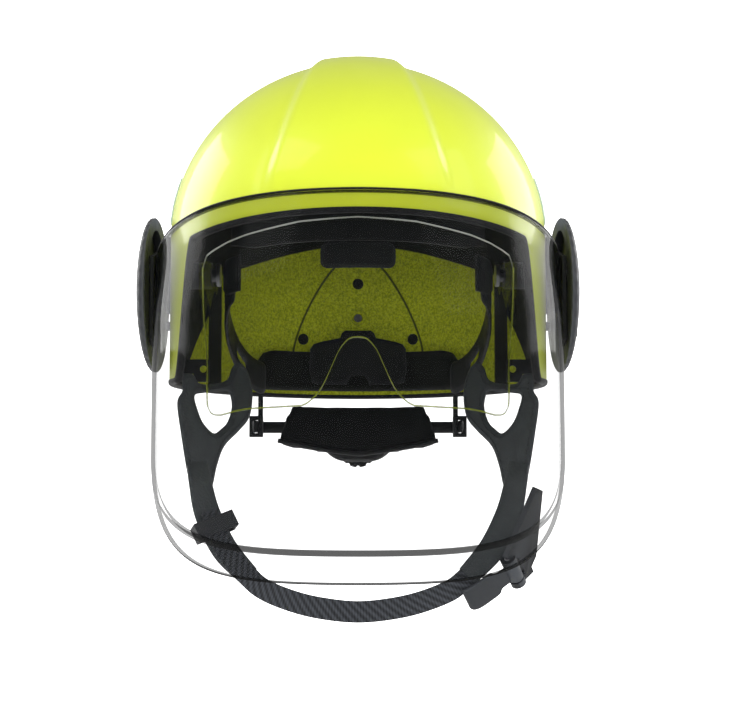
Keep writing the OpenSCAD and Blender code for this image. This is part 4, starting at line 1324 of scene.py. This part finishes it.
buildVisor()
buildLens()
print("visors built")


# leather yokes

yoke = {"thick": 2.4, "at": (102, -29, -52), "tilt": 11.5, "turn": 31,
        "outline": [(-3, 1), (-5, -8), (-12, -15), (-14, -34), (-15, -54), (-14, -68),
                    (-8, -71), (4, -68), (13, -56), (24, -45), (42, -37), (56, -29),
                    (64, -14), (63, 0), (56, 6), (48, 3), (41, -4), (28, -6), (12, -5), (7, 1)],
        "hole": [(5, -12), (5, -20), (8, -29), (16, -36), (25, -34), (33, -30), (40, -21),
                 (39, -12), (28, -11), (14, -11)],
        "tongue": [(95, -33.9, -103.8, -4.6, 7.8, 0.9), (92, -41, -114, -5.2, 8.6, 0.5),
                   (87, -46.5, -132, -6.2, 5.6, 2.2), (76.5, -51.5, -152, -6, 2, 4.2),
                   (62, -54.5, -167.5, -4.4, 0.5, 4.4)]}


def yokePlace(side):
    turn = (Matrix.Rotation(math.radians(yoke["tilt"]), 3, "Y")
            @ Matrix.Rotation(math.radians(yoke["turn"]), 3, "Z"))

    def place(v, w, height):
        p = turn @ Vector((height + yoke["thick"] / 2, v, w)) + Vector(yoke["at"])
        return (side * p.x, p.y, p.z)
    return place


def buildYokes():
    outline = [tuple(p) for p in smoothLoop(yoke["outline"], 5)]
    hole = [tuple(p) for p in smoothLoop(yoke["hole"], 6)]

    def make(side, word):
        place = yokePlace(side)
        points, faces = plateMesh(outline, [hole], place, yoke["thick"], 1.9, 1.6,
                                  lambda p, d: 0.22 * math.exp(-((d - 5) / 2.2) ** 2))
        path = smoothPath(yoke["tongue"], 10)
        more, quads, uvs = ribbonMesh([(side * r[0], r[1], r[2], side * r[3], r[4], r[5])
                                       for r in path], yoke["thick"], 0.3)
        faces += [tuple(len(points) + i for i in q) for q in quads]
        points += more
        addPiece("leatherYoke" + word.capitalize(), points, faces, ("leather",), "helmet",
                 ("yoke_" + word,), 50)
        stitches = ([], [])
        for ring, inset in ((outline, 3.2), (hole, -3.0)):
            for height in (yoke["thick"] / 2, -yoke["thick"] / 2):
                more, quads = stitchMesh(ring, inset, place, 2.6, 1.0, 0.32, height)
                stitches[1].extend(tuple(len(stitches[0]) + i for i in q) for q in quads)
                stitches[0].extend(more)
        addPiece("yokeStitches" + word.capitalize(), stitches[0], stitches[1], ("thread",),
                 "helmet", (), 60)
    both(make)


buildYokes()
print("yokes built")


# chin strap, adjuster and buckle

chin = {"thick": 2, "width": 12, "off": -3, "sewn": (62, -57.1, -167.3, -4.1, -0.3, 4.2),
        "half": [(0, -67.4, -185.5, 0, 0, 6), (18.2, -67, -183.9, -0.7, 0, 6),
                 (34.84, -65, -180.5, -1.6, 0, 5.8), (52, -60.5, -174.5, -2.6, -0.2, 5.4)]}
buckle = {"at": (98, -58, -141), "lean": 24, "spin": -50, "axis": -25, "skew": 32, "rest": 12}


def buildStrap():
    tongue = [np.array(row, float) for row in yoke["tongue"]]
    flip = np.array((-1, 1, 1))
    path = [np.concatenate([np.array(r[:3]), -np.array(r[3:])])
            for r in [chin["sewn"]] + chin["half"][::-1][:-1]]
    path += [np.concatenate([np.array(r[:3]) * flip, -np.array(r[3:]) * flip])
             for r in chin["half"]]
    for i in (4, 3, 2):
        along = tongue[min(i + 1, 4)][:3] - tongue[i - 1][:3]
        out = np.cross(along, tongue[i][3:])
        out = out / np.linalg.norm(out) * chin["off"]
        width = tongue[i][3:] / np.linalg.norm(tongue[i][3:]) * chin["width"] / 2
        path.append(np.concatenate([(tongue[i][:3] + out) * flip, -width * flip]))
    points, faces, uvs = ribbonMesh(smoothPath(path, 14), chin["thick"], 0.22, 20, 0.5)
    addPiece("chinWebbing", points, faces, ("webbing",), "helmet", ("chin_strap",),
             50, uvs=uvs)
    fromPart("strap_adjuster", "buckle", 1.1)


def buildBuckle():
    def about(angle, axis):
        return Matrix.Rotation(math.radians(angle), 4, axis)
    hinge = (Matrix.Translation(buckle["at"]) @ about(buckle["lean"], "Y")
             @ about(buckle["spin"], "Z") @ Matrix.Translation((0, 0, buckle["axis"]))
             @ about(-buckle["skew"], "X"))
    lever = hinge @ about(buckle["rest"], "Y")
    plate = Matrix.Translation(buckle["at"]) @ about(buckle["lean"], "Y") @ about(
        buckle["spin"], "Z")
    fromPart("buckle_plate", "buckle", 1.2,
             cut=(plate @ Vector((0, -6, 23)), plate.to_3x3() @ Vector((0, 0.9, 0.436))))
    fromPart("buckle_pin", "steel", 0.3)
    # pressed lever with a curled finger lip
    path = []
    for x, z, half in ((0, -3, 5.4), (0, -7, 5.4), (0, -10.5, 5.8), (0, -13, 8.1), (0, -20, 8.4),
                       (-0.1, -25, 8.4), (-0.6, -28, 8.2), (-1.6, -29.8, 7.9), (-3, -30.4, 7.4)):
        centre = lever @ Vector((x, 0, z))
        path.append((*centre, *(lever @ Vector((x, half, z)) - centre)))
    points, faces, uvs = ribbonMesh(smoothPath(path, 6), 2.7, 0.2, 20, 0.6)
    barrel = [(2.1, -5.9), (3.9, -5.9), (4.4, -5.3), (4.4, 5.3), (3.9, 5.9), (2.1, 5.9),
              (2.1, -5.9)]
    more, quads = latheMesh(barrel, 36, lambda c, s, h: tuple(hinge @ Vector((c, h, s))))
    faces += [tuple(len(points) + i for i in q) for q in quads]
    points += more
    addPiece("buckleLever", points, faces, ("clip",), "clip",
             ("buckle_clip",), 45, merge=True)


buildStrap()
buildBuckle()
print("strap and buckle built")


# nape cradle

nape = {"half": 53, "top": -67, "height": 32, "y": 74, "knob": 14, "knobZ": -95}


def buildRails():
    # ratchet band: two toothed rails and the bar across the back that carries the housing
    bar = [(68.4, -85), (68.4, -77), (-68.4, -77), (-68.4, -85), (-30, -85), (-28, -92),
           (-17, -99.5), (17, -99.5), (28, -92), (30, -85)]
    points, faces = plateMesh(evenRing(bar, 2.4), [], lambda v, w, h: (v, 98.5 + h, w), 2.9,
                              2.6, 0.7)
    teeth = []
    for i in range(5):
        at = 64 + 3.5 * i
        teeth += [(at, -77), (at + 0.2, -78.5), (at + 1.4, -78.5), (at + 1.6, -77)]
    rail = [(34, -84.2), (34, -77.8), (34.8, -77)] + teeth + [(99, -77), (99, -85), (34.8, -85)]
    for side in (1, -1):
        more, quads = plateMesh(rail, [], lambda v, w, h: (side * (67.25 + h), v, w), 2.4,
                                2.6, 0.6)
        faces += [tuple(len(points) + i for i in q) for q in quads]
        points += more
    addPiece("napeBand", points, faces, ("band",), "nape", ("nape_frame",), 45)


def buildNape():
    sections = []
    reachX = nape["half"] + 1
    for x in span(-reachX, reachX, 40):
        s = abs(x) / reachX
        y = nape["y"] - 8 * s * s + 12
        low = -102.6 + 9 * s ** 1.3
        top = nape["top"] + 2
        section = []
        # a soft roll, thicker low down, where it meets the nape
        for k in range(22):
            turn = math.tau * k / 22
            c, v = math.cos(turn), math.sin(turn)
            share = 0.5 - 0.5 * v
            depth = 3.2 + 2.6 * share
            z = top + (low - top) * share
            section.append((x * (0.84 + 0.17 * share),
                            y - 7.2 + depth * c * abs(c) ** -0.4 if abs(c) > 1e-6 else y - 7.2,
                            z))
        sections.append(section)
    points, faces = loftMesh(sections)
    piece = addPiece("napePad", points, faces, ("pad",), "nape", ("nape_pad",), 60)
    inflate(piece, 2.2, 3.4)
    # piped welt along the foot of the pad
    path = []
    for x in span(-reachX, reachX, 60):
        s = abs(x) / reachX
        path.append((x * 0.995, nape["y"] - 8 * s * s - 0.6, -99.2 + 9 * s ** 1.3))
    mesh = beadMesh(path, 1.6, 10)
    addPiece("napeWelt", mesh[0], mesh[1], ("band",), "nape", (), 60)
    buildRails()
    # ratchet housing, its foot cut back so that the pad hides it
    outline = smoothLoop([(-25, -83), (0, -82.6), (25, -83), (25.6, -90), (23, -97), (14, -103.6),
                          (0, -105), (-14, -103.6), (-23, -97), (-25.6, -90)], 5)
    points, faces = plateMesh([tuple(p) for p in outline], [],
                              lambda v, w, h: (v, 91.6 + h, w), 9.6, 2.6, 1.8)
    addPiece("ratchetHousing", points, faces, ("band",), "nape",
             ("ratchet_housing",), 50)

    profile = [(0.01, 100.4), (9, 100.4), (9, 101.2), (13.2, 101.2), (14, 102), (14, 109.6),
               (13.2, 110.8), (12, 111.4), (9.5, 111.4), (8.8, 110.8), (0.01, 110.8)]

    def seat(c, s, height):
        return (c, height, nape["knobZ"] + s)

    def flute(radius, height, turn):
        dip = max(0, math.cos(turn * 12)) ** 2
        return radius - 1.3 * dip * ramp(12, 13.6, radius)
    points, faces = latheMesh(profile, 240, seat, flute)
    addPiece("ratchetKnob", points, faces, ("band",), "knob",
             ("ratchet_knob",), 35, merge=True)


buildNape()
print("nape cradle built")
